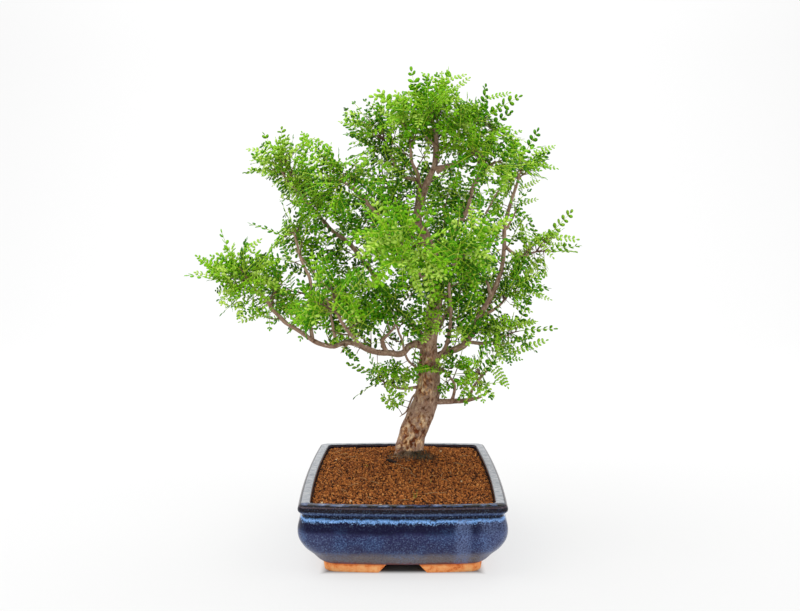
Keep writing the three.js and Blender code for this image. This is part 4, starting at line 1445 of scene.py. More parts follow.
SNAGS: list[Places] = [
    [(-92, 18, 328, 2.6), (-98, 12, 318, 2), (-104, 8, 310, 1.6)],
    [(56, 16, 655, 3), (46, 10, 664, 2.4), (36, 4, 674, 1.8)],
    [(46, 44, 488, 7), (52, 34, 490, 5.5), (53, 30, 490, 4)],
]

SURFACE_ROOTS: list[Places] = [
    [(10, 84, 140, 9), (-6, 72, 128, 7), (-14, 66, 124.5, 5)],
    [(27, 86, 138, 8), (34, 80, 126, 5), (39, 76, 119, 3)],
    [(-1, 72, 140, 6), (-8, 66, 137, 5.4), (-12, 62, 135, 4.6)],
]

CLOUDS: tuple[Cloud, ...] = (
    Cloud((-264, -46, 440), (48, 54, 42), ("low_left",), 3),
    Cloud((-196, -10, 412), (60, 60, 44), ("low_left", "low_left_riser"), 2),
    Cloud((-140, 16, 378), (60, 60, 40), ("low_left", "low_left_riser"), 2),
    Cloud((-80, 14, 378), (56, 52, 40), ("low_left", "crooked_stump"), 2),
    Cloud((-114, -132, 414), (62, 66, 42), ("low_left_fork",), 2),
    Cloud((-204, 118, 622), (60, 64, 46), ("upper_left",), 3, young=True),
    Cloud((-150, 108, 572), (60, 66, 48), ("upper_left",), 2),
    Cloud((-180, 36, 508), (60, 56, 46), ("low_left_riser",), 2),
    Cloud((-96, -36, 600), (62, 66, 52), ("crown",), 2),
    Cloud((-36, 56, 664), (66, 66, 54), ("crown_back", "far_left_leader"), 2),
    Cloud((28, -6, 700), (58, 64, 50), ("left_leader", "trunk"), 3, young=True),
    Cloud((84, 22, 706), (58, 64, 50), ("trunk", "dark_branch"), 3, young=True),
    Cloud((134, 52, 686), (60, 66, 50), ("dark_branch",), 2),
    Cloud((214, 160, 626), (58, 60, 46), ("right_main",), 2),
    Cloud((138, -24, 628), (62, 68, 52), ("right_fork", "upper_right"), 2),
    Cloud((256, 168, 484), (54, 58, 42), ("right_frond_fork",), 3, young=True),
    Cloud((184, 130, 404), (62, 60, 42), ("right_low_twig", "inner_fork"), 2),
    Cloud((182, 106, 338), (54, 54, 34), ("right_lowest_twig",), 2),
    Cloud((124, 44, 266), (54, 54, 36), ("low_right_riser", "low_right_outer"), 2),
    Cloud((-34, 62, 254), (32, 32, 22), ("low_left_small",), 1),
    Cloud((4, -200, 494), (72, 66, 54), ("front",), 3, young=True),
    Cloud((92, -122, 482), (64, 70, 52), ("front_right", "inner_riser"), 2),
    Cloud((76, 204, 574), (72, 58, 56), ("back", "back_right"), 2),
    Cloud((-60, 194, 528), (66, 62, 54), ("back_left",), 2),
    Cloud((116, 206, 412), (64, 58, 50), ("low_back",), 2),
)


@dataclass(frozen=True)
class View:
    """The photograph's camera, in mm and degrees, over a picture whose points are in pixels from
    its upper left corner."""

    eye: tuple[float, float, float] = (-4.2, -1550.6, 517)
    pitch: float = 4.61
    lens: float = 41.94
    sensor: float = 36
    width: float = 800
    middle: tuple[float, float] = (400, 305.5)

    def turn(self) -> tuple[float, float, float]:
        """The pitch's cosine and sine, and the focal length in pixels."""
        pitch = math.radians(self.pitch)
        return math.cos(pitch), math.sin(pitch), self.lens / self.sensor * self.width

    def place(self, x: float, y: float, depth: float) -> list[float]:
        """Where the ray through a picture point reaches a depth.

        Args:
            x: the point's place across the picture.
            y: its place down the picture.
            depth: the depth along Y.

        Returns:
            The place as [x, y, z], in whole millimetres.
        """
        cos, sin, focal = self.turn()
        away, rise = depth - self.eye[1], (self.middle[1] - y) / focal
        height = away * (rise * cos - sin) / (cos + rise * sin)
        across = (x - self.middle[0]) / focal * (away * cos - height * sin)
        return [float(round(one)) for one in (self.eye[0] + across, depth, self.eye[2] + height)]

    def seen(self, places: Array) -> Array:
        """Where places are seen in the picture.

        Args:
            places: rows (x, y, z).

        Returns:
            Picture points, as rows (x, y).
        """
        cos, sin, focal = self.turn()
        x, away, height = (places - np.array(self.eye)).T
        along, up = away * cos - height * sin, away * sin + height * cos
        return np.stack([self.middle[0] + focal * x / along, self.middle[1] - focal * up / along], axis=1)


VIEW = View()

# Picture points, picked or set to give a place that was chosen in mm

# (x, y, depth) of a tuft, or (x, y) of one that stands in front of the nearest limb
TUFT_SPOTS: tuple[tuple[float, ...], ...] = (
    (360, 111, 56), (372, 103, 50), (300, 148, 105), (315, 137, 104), (378, 190, -6), (395, 190, 24),
    (392, 172, 10), (480, 210, 40), (498, 208, 90), (516, 208, 134), (500, 225, 110), (340, 228, 90),
    (325, 248, 86), (342, 250, 84), (340, 268, 84), (358, 268, 84), (322, 268, 88), (385, 290, 60),
    (260, 308, -36), (245, 305, -40), (458, 328, 60), (420, 330, 40), (500, 350, 112), (516, 348, 116),
    (505, 340, 114), (398, 366, 66), (405, 376, 62), (418, 370, 50), (395, 378, 64), (400, 385, 70),
    (430, 368, 46), (424, 374, 48), (440, 388, 56), (436, 392, 60), (398, 404, 92), (404, 400, 92),
    (392, 402, 90),
    (440, 92), (380, 108), (318, 150), (438, 152), (458, 150), (338, 170), (458, 170), (378, 190),
    (398, 186), (320, 206), (338, 210), (498, 206), (478, 228), (498, 232), (484, 238), (338, 248),
    (344, 256), (356, 236), (498, 250), (258, 268), (278, 268), (338, 270), (352, 272), (362, 278),
    (298, 290), (376, 290), (398, 288), (384, 222), (390, 214), (418, 330), (426, 322), (338, 346),
    (330, 344), (398, 350), (410, 344), (418, 366), (430, 366), (378, 368), (438, 370), (444, 360),
    (458, 366), (438, 386), (446, 388), (478, 388), (470, 394), (380, 250), (370, 264), (364, 244),
    (386, 238), (376, 278), (362, 126), (354, 118), (366, 134), (498, 190), (502, 180), (496, 202),
    (516, 206), (522, 204), (514, 268), (398, 168), (396, 160), (424, 352), (428, 346), (416, 352),
    (430, 370), (440, 366), (458, 330), (346, 348), (352, 344),
    (436, 300, 34), (440, 314, 40), (430, 322, 44), (437, 288, 30), (430, 332, 46), (428, 366, 50),
    (432, 372, 52), (424, 370, 50), (430, 362, 50),
)

# (x, y, depth) of a long leaf's root and of its tip
FROND_SPOTS: tuple[tuple[float, ...], ...] = (
    (532.3, 155.7, 140, 555.5, 147, 150), (522.4, 161.5, 140, 558, 169, 150),
    (524, 165.6, 138, 540.6, 170.6, 130), (519, 189, 134, 540, 181.4, 140),
    (517.8, 205.8, 130, 537.3, 197.5, 120), (535.6, 233.6, 160, 578.7, 241.8, 170),
    (532, 234, 158, 553, 259, 150), (549, 245, 166, 566, 244.7, 176),
    (509, 136, 60, 521.5, 131.6, 60), (520, 218, 130, 521.5, 234, 126),
    (537.6, 270.8, 160, 539.7, 297.3, 150), (525.6, 291.5, 150, 551.3, 299.4, 150),
    (510, 304, 130, 531, 313, 126), (510, 329.6, 126, 538, 323.4, 132),
    (516.5, 339.5, 118, 533, 334, 122), (505.7, 353.6, 110, 548.8, 342, 116),
    (499, 358.6, 108, 522.3, 359, 108), (495, 362, 106, 509, 388, 100),
    (490, 366.9, 96, 504.5, 386, 92), (266, 151.5, 110, 247.8, 150, 104),
    (289.3, 150.8, 108, 264.6, 146.8, 100), (289.3, 149.5, 112, 289.3, 138.7, 112),
    (272.6, 171.6, 108, 249.2, 170.6, 100), (311, 151.5, 106, 300.7, 132.7, 106),
    (440, 85, 8, 464.6, 73, 16), (447.7, 95.4, 10, 469.7, 77.2, 16), (440, 84.9, 6, 443, 72.4, 4),
    (439, 82, 6, 421.9, 74.4, 0), (430.5, 100, 0, 409.4, 93.5, -10), (362, 114, 50, 345.3, 112.6, 44),
    (358.7, 127, 48, 339.6, 123.2, 40), (402, 104, 24, 406.5, 91.6, 22), (485, 99.8, 46, 509.4, 92.2, 50),
    (485, 119, 46, 503.3, 104.4, 50), (491, 123.6, 50, 512.5, 129.7, 44),
    (237.5, 256, -40, 262, 240.9, -30), (218, 270, -52, 196, 257, -60), (214, 277, -54, 196, 272, -60),
    (269.6, 312.3, -26, 238.4, 321, -34), (269.6, 314, -26, 268.8, 329.3, -30),
    (257, 300.7, -34, 238, 296, -44), (236, 283, -46, 222, 300, -54),
)

# (x, y) of a gap in the crown, and its radius in mm
GAP_SPOTS: tuple[tuple[float, float, float], ...] = (
    (500, 110, 17), (537, 130, 14), (340, 150, 14), (358, 152, 12), (540, 225, 16), (560, 228, 17),
    (540, 250, 12), (560, 250, 14), (560, 270, 17), (300, 290, 10), (500, 308, 14), (520, 310, 16),
    (541, 330, 17), (520, 330, 10), (260, 333, 17), (278, 338, 16), (300, 352, 17), (318, 352, 14),
    (320, 330, 9), (358, 372, 17), (358, 392, 19), (378, 390, 14), (380, 328, 10), (360, 350, 10),
    (460, 350, 14), (460, 372, 10), (480, 412, 16), (462, 412, 12), (210, 310, 14), (258, 195, 17),
    (258, 212, 16), (220, 226, 14), (493.3, 185.2, 7), (496, 158, 7), (531, 150, 9), (251.6, 333.6, 14),
    (243, 297, 8), (466, 92, 12), (416, 150, 8), (288, 285, 10), (262, 247, 10), (400, 330, 10),
    (478, 350, 8), (520, 346, 8), (478, 372, 8), (402, 392, 8), (318, 330, 10),
)

# (x, y) along the crown's outline, clockwise from its upper left
EDGE_SPOTS: tuple[tuple[float, float], ...] = (
    (352, 100), (368, 99), (386, 95.4), (404, 87), (420, 74), (440, 70.4), (462, 76.4), (473, 93),
    (484.6, 104.4), (494, 117.8), (514, 124), (526, 136), (549, 149), (546, 166), (532, 184),
    (524, 200), (528, 212), (546, 226), (566, 242), (562, 262), (547, 280), (543, 296), (528, 308),
    (541, 328), (536, 346), (512, 358), (506, 378), (500, 393), (480, 404), (448, 402), (436, 403),
    (410, 412), (394, 411), (376, 396), (366, 376), (372, 362), (330, 358), (308, 346), (288, 334),
    (262, 324), (238, 322), (222, 303), (206, 284), (196, 268), (198, 259), (213, 257), (223, 252),
    (231, 243), (246, 240), (254, 248), (265, 252), (272, 242), (280, 226), (286, 208), (274, 188),
    (260, 172), (246, 152), (264, 140), (296, 131), (310, 131.6), (322, 142), (338, 146), (346, 130),
    (344, 114),
)

# Runs of limbs that no leaf hides, from one place of their route to another
BARE_RUNS: tuple[tuple[str, float, float], ...] = (
    ("trunk", 2.4, 3.5), ("trunk", 4.6, 5), ("trunk", 9, 12), ("trunk", 14.3, 16.6),
    ("left_leader", 0.7, 1.8), ("crown", 2, 3.4), ("upper_left", 4.3, 5.6), ("low_left", 0.3, 7.5),
    ("low_left", 8, 10), ("low_left_riser", 0, 0.6), ("right_main", 3.4, 4.5),
    ("right_main", 4.9, 6.8), ("right_main", 7.8, 9), ("inner_riser", 0.4, 2), ("low_right", 0.3, 1.6),
)

BARE_TWIGS: list[Places] = [
    [(-112, -14, 340, 2.2), (-119, -10, 380, 2), (-139, 4, 433, 1.8), (-182, 18, 487, 1.5)],
    [(114, 8, 579, 2.7), (122, 2, 600, 2.5), (140, -4, 631, 2)],
    [(148, 112, 546, 1.7), (163, 118, 574, 1.5), (177, 120, 595, 1.2)],
    [(58, 17, 615, 3.4), (77, 6, 623, 3), (96, -3, 629, 2.6)],
    [(188, 132, 520, 2), (200, 130, 543, 1.6), (205, 128, 560, 1.2)],
]


@dataclass(frozen=True)
class Bark:
    """How the skin of a limb is worked: depths in mm, and widths of the relief's cells in mm."""

    lump_depth: float
    lump_width: float
    furrow_depth: float
    furrow_width: float
    furrow_length: float


class Wear(Enum):
    """What has become of a patch of bark."""

    FLAKED = "flaked"
    STAINED = "stained"
    HOLLOW = "hollow"


@dataclass(frozen=True)
class Mark:
    """A patch on the trunk's front, flaked, darkened or hollowed: its kind, place and half sizes
    along X and Z, in mm, and how strong it is."""

    wear: Wear
    x: float
    z: float
    half_x: float
    half_z: float
    strength: float = 1.0


@dataclass
class Tree:
    """Trunk, limbs, snags and roots, as rows (x, y, z, radius) in mm that a bark skin follows."""

    seed: int = 23
    root_stub: tuple[tuple[float, float, float, float], ...] = ((10, 90, 70, 21), (12, 90, 110, 25))
    trunk_sides: int = 84
    trunk_spacing: float = 1.9
    limb_spacing: float = 3.1
    trunk_bark: Bark = Bark(1.3, 17, 0.5, 2.6, 4.5)
    marks: tuple[Mark, ...] = (
        Mark(Wear.FLAKED, 36, 244, 16, 24),
        Mark(Wear.STAINED, 36, 186, 12, 20, 0.7),
        Mark(Wear.FLAKED, 34, 178, 14, 20, 0.6),
        Mark(Wear.HOLLOW, 14, 144, 8, 11),
        Mark(Wear.FLAKED, 3, 160, 9, 14),
        Mark(Wear.FLAKED, 28, 144, 10, 11),
        Mark(Wear.FLAKED, 14, 132, 9, 4),
        Mark(Wear.FLAKED, -11, 132, 9, 7),
        Mark(Wear.FLAKED, 12, 156, 36, 30, 0.75),
        Mark(Wear.FLAKED, 38, 290, 26, 30, 0.4),
        Mark(Wear.STAINED, 8, 190, 7, 16, 0.8),
    )
    limb_bark: Bark = Bark(0.5, 7, 0.35, 1.8, 7)
    wobble: float = 1.3
    collar: float = 0.5
    taper: float = 0.7
    taper_length: float = 7
    thin_radius: float = 3.0
    relief: Relief = field(default_factory=lambda: Relief(9))

    def skin_of(self, places: Sequence, spacing: float, sides: int, bark: Bark, trunk: bool) -> Skin:
        """A bark skin along a route. The radius is that of the route, plus lumps, minus furrows
        |noise|^0.7 that run along it, plus a collar where a limb leaves its parent.

        Args:
            places: rows (x, y, z, radius) in mm.
            spacing: the distance between rings.
            sides: the number of points in a ring.
            bark: the relief.
            trunk: whether this is the trunk, which has a flare and flakes.

        Returns:
            The skin.
        """
        route = smooth_route(np.array(places, float), spacing)
        path, radius = route[:, :3].copy(), route[:, 3]
        run = np.concatenate([[0], np.cumsum(np.linalg.norm(np.diff(path, axis=0), axis=1))])
        if not trunk:
            sway = np.stack([self.relief.at(path / 17 + 31 * axis) for axis in range(3)], axis=-1)
            path += sway * self.wobble * np.clip(run / 12, 0, 1)[:, None]
            radius = radius * (1 + self.collar * np.exp(-run / (1.6 * radius[0])))
            radius = radius * (1 - self.taper * np.exp(-(run[-1] - run) / self.taper_length))
        angle = np.linspace(0, 2 * np.pi, sides, endpoint=False)
        shift = places[0][2] * 0.37
        around = np.stack(
            [
                np.cos(angle)[None] * radius[:, None],
                np.sin(angle)[None] * radius[:, None],
                np.broadcast_to(run[:, None] + shift, (len(run), sides)),
            ],
            axis=-1,
        )
        lumps = self.relief.layered(around / bark.lump_width, 2)
        stretch = np.array([bark.furrow_width, bark.furrow_width, bark.furrow_length])
        bends = 0.5 * lumps[..., None] * np.array([1.0, 1.0, 0.0])
        rough = self.relief.layered(around / stretch + bends + 7, 2)
        furrow = np.abs(rough) ** 0.7
        fine = self.relief.at(around / (stretch * np.array([0.6, 0.6, 0.25])) + 19)
        relief = bark.lump_depth * lumps + bark.furrow_depth * (furrow - 0.45 + 0.22 * fine)
        reach = np.maximum(radius[:, None] + relief * np.clip(radius[:, None] / 4, 0.2, 1), 0.5)
        skin = tubes(path[None] * MM, reach[None] * MM, sides)
        look = np.zeros((len(run), sides, 3))
        look[..., 0] = np.clip(1.8 * (furrow - 0.45) + 0.5 * fine, -1, 1)
        patches = self.relief.layered(around / np.array([2.6, 2.6, 4.2]) + 3, 3)
        skin.points = self.worn(skin.points, path, look, patches)
        look[..., 2] = np.clip((self.thin_radius + 1 - radius[:, None]) / 2, 0, 1)
        ends = look[[0, -1]].mean(axis=1)
        skin.look = np.concatenate([look.reshape(-1, 3), ends])
        return skin

    def worn(self, points: Array, path: Array, look: Array, patches: Array) -> Array:
        """Works the marks into a skin's front: each fades as exp(-(x / half)^2 - (z / half)^2).

        Args:
            points: the skin's points in metres, ring by ring, then its two poles.
            path: the trunk's middle line in mm (rings, 3).
            look: value triples (rings, sides, 3), which are changed.
            patches: noise over the skin (rings, sides).

        Returns:
            The points, drawn in where the trunk is hollowed.
        """
        rings, sides = look.shape[:2]
        places = points[: rings * sides].reshape(rings, sides, 3) / MM
        spokes = unit(places - path[:, None])
        front = np.clip(-2.5 * spokes[..., 1] - 0.4, 0, 1)
        drawn = np.zeros((rings, sides))
        for mark in self.marks:
            away = ((places[..., 0] - mark.x) / mark.half_x) ** 2
            away = away + ((places[..., 2] - mark.z) / mark.half_z) ** 2
            share = front * np.exp(-away) * mark.strength
            ragged = np.clip(share * (0.9 + 1.6 * patches), 0, 1)
            if mark.wear is Wear.FLAKED:
                look[..., 1] = np.maximum(look[..., 1], ragged)
                drawn += 0.7 * ragged
            # A darkened patch is drawn in a little and painted darker.
            if mark.wear is Wear.STAINED:
                look[..., 0] -= 1.3 * ragged
                drawn += 0.7 * ragged
            # A hollow is drawn in further and painted dark inside.
            if mark.wear is Wear.HOLLOW:
                look[..., 0] -= 2.6 * ragged
                drawn += 1.2 * ragged + 1.5 * share
        places = places - spokes * drawn[..., None]
        return np.concatenate([places.reshape(-1, 3) * MM, points[rings * sides :]])

    def build(self) -> None:
        """Makes the wood in place of its plain solid."""
        trunk = [*self.root_stub, *TRUNK]
        skins = [self.skin_of(trunk, self.trunk_spacing, self.trunk_sides, self.trunk_bark, True)]
        for places in LIMBS.values():
            sides = 24 if places[0][3] > 5 else 14 if places[0][3] > 3.4 else 10
            skins.append(self.skin_of(places, self.limb_spacing, sides, self.limb_bark, False))
        for places in BARE_TWIGS:
            skins.append(self.skin_of(places, self.limb_spacing, 10, self.limb_bark, False))
        for places in [*SNAGS, *SURFACE_ROOTS]:
            skins.append(self.skin_of(places, 1.5, 20, self.limb_bark, False))
        piece = make_piece("bark_and_limbs", skins, [BarkFinish().build("furrowed_bark")])
        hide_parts("wood")


# Foliage


class EvenDraws:
    """The seeded 32-bit generator of even draws that places the sprays, as in the part's source."""

    def __init__(self, seed: int) -> None:
        """Sets the state to the seed."""
        self.state = seed

    def next(self) -> float:
        """Makes one draw: the state steps on and is mixed by shifts and products.

        Returns:
            A number from 0 up to 1.
        """
        whole = 0xFFFFFFFF
        self.state = (self.state + 0x6D2B79F5) & whole
        mixed = ((self.state ^ (self.state >> 15)) * (self.state | 1)) & whole
        mixed ^= (mixed + (((mixed ^ (mixed >> 7)) * (mixed | 61)) & whole)) & whole
        return ((mixed ^ (mixed >> 14)) & whole) / 4294967296


@dataclass
class Spray:
    """One leafy shoot, in mm: its foot on the limb, its knee and tip, which way is outwards, how
    it is rolled in degrees, and its cloud."""

    name: str
    cloud: Cloud
    foot: Array
    knee: Array
    tip: Array
    outward: Array
    roll: float


@dataclass
class SprayPlan:
    """Where the sprays grow, by the rule and the draws of the part's source, in mm and degrees."""

    seed: int = 20617
    crown_middle: tuple[float, float, float] = (40, 40, 480)
    bud_spacing: float = 5
    foot_spacing: float = 11
    foot_share: float = 0.25
    tip_share: float = 0.5
    fan_lean: float = 58
    fan_lean_spread: float = 18
    fan_turn_spread: float = 0.5
    twig_lift: float = 0.25
    twig_knee: float = 0.45

    def buds_on(self, names: Sequence[str]) -> Array:
        """Spaces buds evenly along limbs.

        Args:
            names: the limbs, where "trunk" is the trunk's upper part.

        Returns:
            Places, as rows (x, y, z).
        """
        buds = []
        for name in names:
            places = np.array(TRUNK[-4:] if name == "trunk" else LIMBS[name], float)[:, :3]
            for start, end in zip(places[:-1], places[1:]):
                count = math.ceil(np.linalg.norm(end - start) / self.bud_spacing)
                share = np.arange(1, count + 1)[:, None] / count
                buds.append(start + (end - start) * share)
        return np.concatenate(buds)

    def nearest(self, buds: Array, point: Array, feet: list[Array]) -> Array:
        """Finds the bud nearest to a point, out of those that stand clear of other feet.

        Args:
            buds: rows (x, y, z).
            point: the point.
            feet: where other sprays stand.

        Returns:
            The bud's place.
        """
        away = np.linalg.norm(buds - point, axis=1)
        if feet:
            gaps = np.linalg.norm(buds[:, None] - np.array(feet)[None], axis=2).min(axis=1)
            away = np.where(gaps > self.foot_spacing, away, np.inf)
        return buds[int(np.argmin(away))]

    def sprays(self) -> list[Spray]:
        """Plans every spray, cloud by cloud.

        Returns:
            The sprays in order.
        """
        draws = EvenDraws(self.seed)
        feet: list[Array] = []
        found: list[Spray] = []
        for cloud in CLOUDS:
            middle, half = np.array(cloud.middle, float), np.array(cloud.half, float)
            buds = self.buds_on(cloud.limbs)
            outward = unit((middle - np.array(self.crown_middle)) * np.array([1, 1, 0]))
            from_limb = (middle - self.nearest(buds, middle, [])) / np.linalg.norm(half)
            axis = unit(1.2 * outward + 6 * from_limb + UP)
            across = square_to(axis)
            over = np.cross(axis, across)
            phase = 2 * math.pi * draws.next()
            for index in range(cloud.sprays):
                turn = phase + 2 * math.pi * index / cloud.sprays
                turn += self.fan_turn_spread * (draws.next() - 0.5)
                lean = math.radians(self.fan_lean + self.fan_lean_spread * (draws.next() - 0.5))
                lean = 0.0 if cloud.sprays == 1 else lean
                fan = across * math.cos(turn) + over * math.sin(turn)
                reach = (axis * math.cos(lean) + fan * math.sin(lean)) * half
                foot = self.nearest(buds, middle + self.foot_share * reach, feet)
                tip = middle + self.tip_share * reach
                feet.append(foot)
                way = unit(unit(tip - foot) + self.twig_lift * UP)
                knee = foot + way * self.twig_knee * np.linalg.norm(tip - foot)
                name = f"spray_{len(found) + 1:02d}"
                found.append(Spray(name, cloud, foot, knee, tip, outward, 360 * draws.next()))
        return found


class Rows:
    """A table whose fields are arrays with one row to a thing."""

    def chosen(self, keep: Array) -> Self:
        """The rows that a mask keeps."""
        return type(self)(*(values[keep] for values in vars(self).values()))


@dataclass
class Leaves(Rows):
    """Compound leaves, one to a row: root, heading and upper side, length and arch in mm, age from
    0 to 1, and the number of leaflet pairs."""

    base: Array
    along: Array
    facing: Array
    length: Array
    arch: Array
    age: Array
    pairs: Array

    @staticmethod
    def joined(groups: Sequence["Leaves"]) -> "Leaves":
        """All leaves of several groups."""
        columns = zip(*(vars(group).values() for group in groups))
        return Leaves(*(np.concatenate(column) for column in columns))


@dataclass
class LeafShape:
    """How a compound leaf is cut: leaflets in pairs along a winged stalk and one at its end."""

    first_run: float = 0.17
    last_run: float = 0.84
    end_run: float = 0.93
    leaflet_share: float = 0.21
    leaflet_width: float = 0.62
    stalk_radius: float = 0.84
    blade: tuple[tuple[float, float, float], ...] = (
        (0.0, 0.0, 0.0),
        (0.18, -0.58, 0.01),
        (0.56, -1.0, 0.02),
        (0.88, -0.7, 0.0),
        (1.0, 0.0, -0.01),
        (0.88, 0.7, 0.0),
        (0.56, 1.0, 0.02),
        (0.18, 0.58, 0.01),
        (0.34, 0.0, 0.055),
        (0.74, 0.0, 0.055),
    )
    faces: tuple[tuple[int, int, int], ...] = (
        (0, 1, 8), (8, 1, 2), (8, 2, 9), (9, 2, 3), (9, 3, 4),
        (0, 8, 7), (8, 6, 7), (8, 9, 6), (9, 5, 6), (9, 4, 5),
        (0, 2, 1), (0, 3, 2), (0, 4, 3), (0, 5, 4), (0, 6, 5), (0, 7, 6),
    )  # fmt: skip

    def skins(self, leaves: Leaves, rng: np.random.Generator) -> list[Skin]:
        """Blades and stalks of leaves, group by group of those with as many pairs.

        Args:
            leaves: the leaves.
            rng: the draws.

        Returns:
            The skins, blades with finish 0 and stalks with finish 1.
        """
        groups = (leaves.chosen(leaves.pairs == pairs) for pairs in np.unique(leaves.pairs))
        return [skin for group in groups for skin in self.group(group, rng)]

    def group(self, leaves: Leaves, rng: np.random.Generator) -> list[Skin]:
        """Leaves with the same number of pairs. A stalk runs along base + heading run length, bent
        down by arch run^2 and sideways by sway run^2. A leaflet is the blade's outline in its own
        frame: along, across and off the leaf.

        Args:
            leaves: the leaves.
            rng: the draws.

        Returns:
            The skins of the blades and of the stalks.
        """
        count, pairs = len(leaves.length), int(leaves.pairs[0])
        side = unit(np.cross(leaves.along, leaves.facing))
        face = np.cross(side, leaves.along)
        sway = rng.uniform(-4, 4, (count, 1))

        def stalk(run: Array) -> Array:
            """Points on the stalks.

            Args:
                run: the shares of their length (k,).

            Returns:
                Points (n, k, 3).
            """
            r = run[None, :, None]
            straight = leaves.along[:, None] * leaves.length[:, None, None] * r
            bend = side[:, None] * sway[..., None] - face[:, None] * leaves.arch[:, None, None]
            return leaves.base[:, None] + straight + bend * r**2

        runs = np.linspace(self.first_run, self.last_run, pairs)
        run = np.concatenate([np.repeat(runs, 2), [self.end_run]])
        hand = np.concatenate([np.tile([1.0, -1.0], pairs), [0.0]])
        way = unit(stalk(run + 0.02) - stalk(run - 0.02))
        across = unit(np.cross(way, face[:, None] + 0 * way))
        top = np.cross(across, way)
        spread = np.radians(70 - 22 * run)[None] * np.abs(hand) + rng.normal(0, 0.1, (count, len(run)))
        outwards = np.sin(spread) * np.where(hand, hand, 1)
        heading = way * np.cos(spread)[..., None] + across * outwards[..., None]
        heading = unit(heading + top * rng.normal(0.1, 0.14, (count, len(run), 1)))
        normal = unit(top - dot(top, heading) * heading)
        wing = np.cross(normal, heading)
        roll = rng.normal(0, 0.28, (count, len(run), 1))
        cos, sin = np.cos(roll), np.sin(roll)
        normal, wing = normal * cos + wing * sin, wing * cos - normal * sin
        profile = 0.78 + 0.3 * np.sin(np.pi * np.clip(run * 1.05, 0, 1))
        size = leaves.length[:, None] * self.leaflet_share * profile[None]
        size = size * 4.6 / (pairs + 0.9) * rng.uniform(0.88, 1.12, size.shape)
        blade = np.array(self.blade)
        u, v, w = blade[:, 0], blade[:, 1], blade[:, 2]
        curl = rng.uniform(0.02, 0.2, (count, len(run), 1))
        off = w - curl * u**2
        half = 0.5 * self.leaflet_width
        points = stalk(run)[:, :, None] + size[..., None, None] * (
            heading[:, :, None] * u[:, None]
            + wing[:, :, None] * (half * v)[:, None]
            + normal[:, :, None] * off[..., None]
        )
        look = np.empty(points.shape)
        look[..., 0] = (leaves.age[:, None] + rng.normal(0, 0.05, size.shape))[..., None]
        look[..., 1] = u
        look[..., 2] = v
        total = count * len(run)
        faces = np.array(self.faces)[None] + np.arange(total)[:, None, None] * len(blade)
        blades = Skin(points.reshape(-1, 3) * MM, faces.reshape(-1, 3), 0, look.reshape(-1, 3))
        along = np.array([0.0, 0.3, 0.62, 0.94])
        radii = self.stalk_radius * (1.25 - along)[None] * np.ones((count, 1))
        return [blades, tubes(stalk(along) * MM, radii * MM, 3, 1)]


@dataclass
class Shoots(Rows):
    """Thin twigs, one to a row: start, knee and end in mm, first turn of their leaves in degrees,
    age from 0 to 1, and the way outwards."""

    start: Array
    knee: Array
    end: Array
    turn: Array
    age: Array
    outward: Array


@dataclass
class Growth:
    """Twigs of one radius in mm, with the same number of leaves on each, which are trimmed to the
    clearings or not."""

    twigs: Shoots
    leaves: Leaves
    radius: float
    trimmed: bool = True

    def chosen(self, keep: Array) -> "Growth":
        """The twigs that a mask keeps, with their leaves."""
        each = len(self.leaves.length) // len(keep)
        leaves = self.leaves.chosen(np.repeat(keep, each))
        return Growth(self.twigs.chosen(keep), leaves, self.radius, self.trimmed)


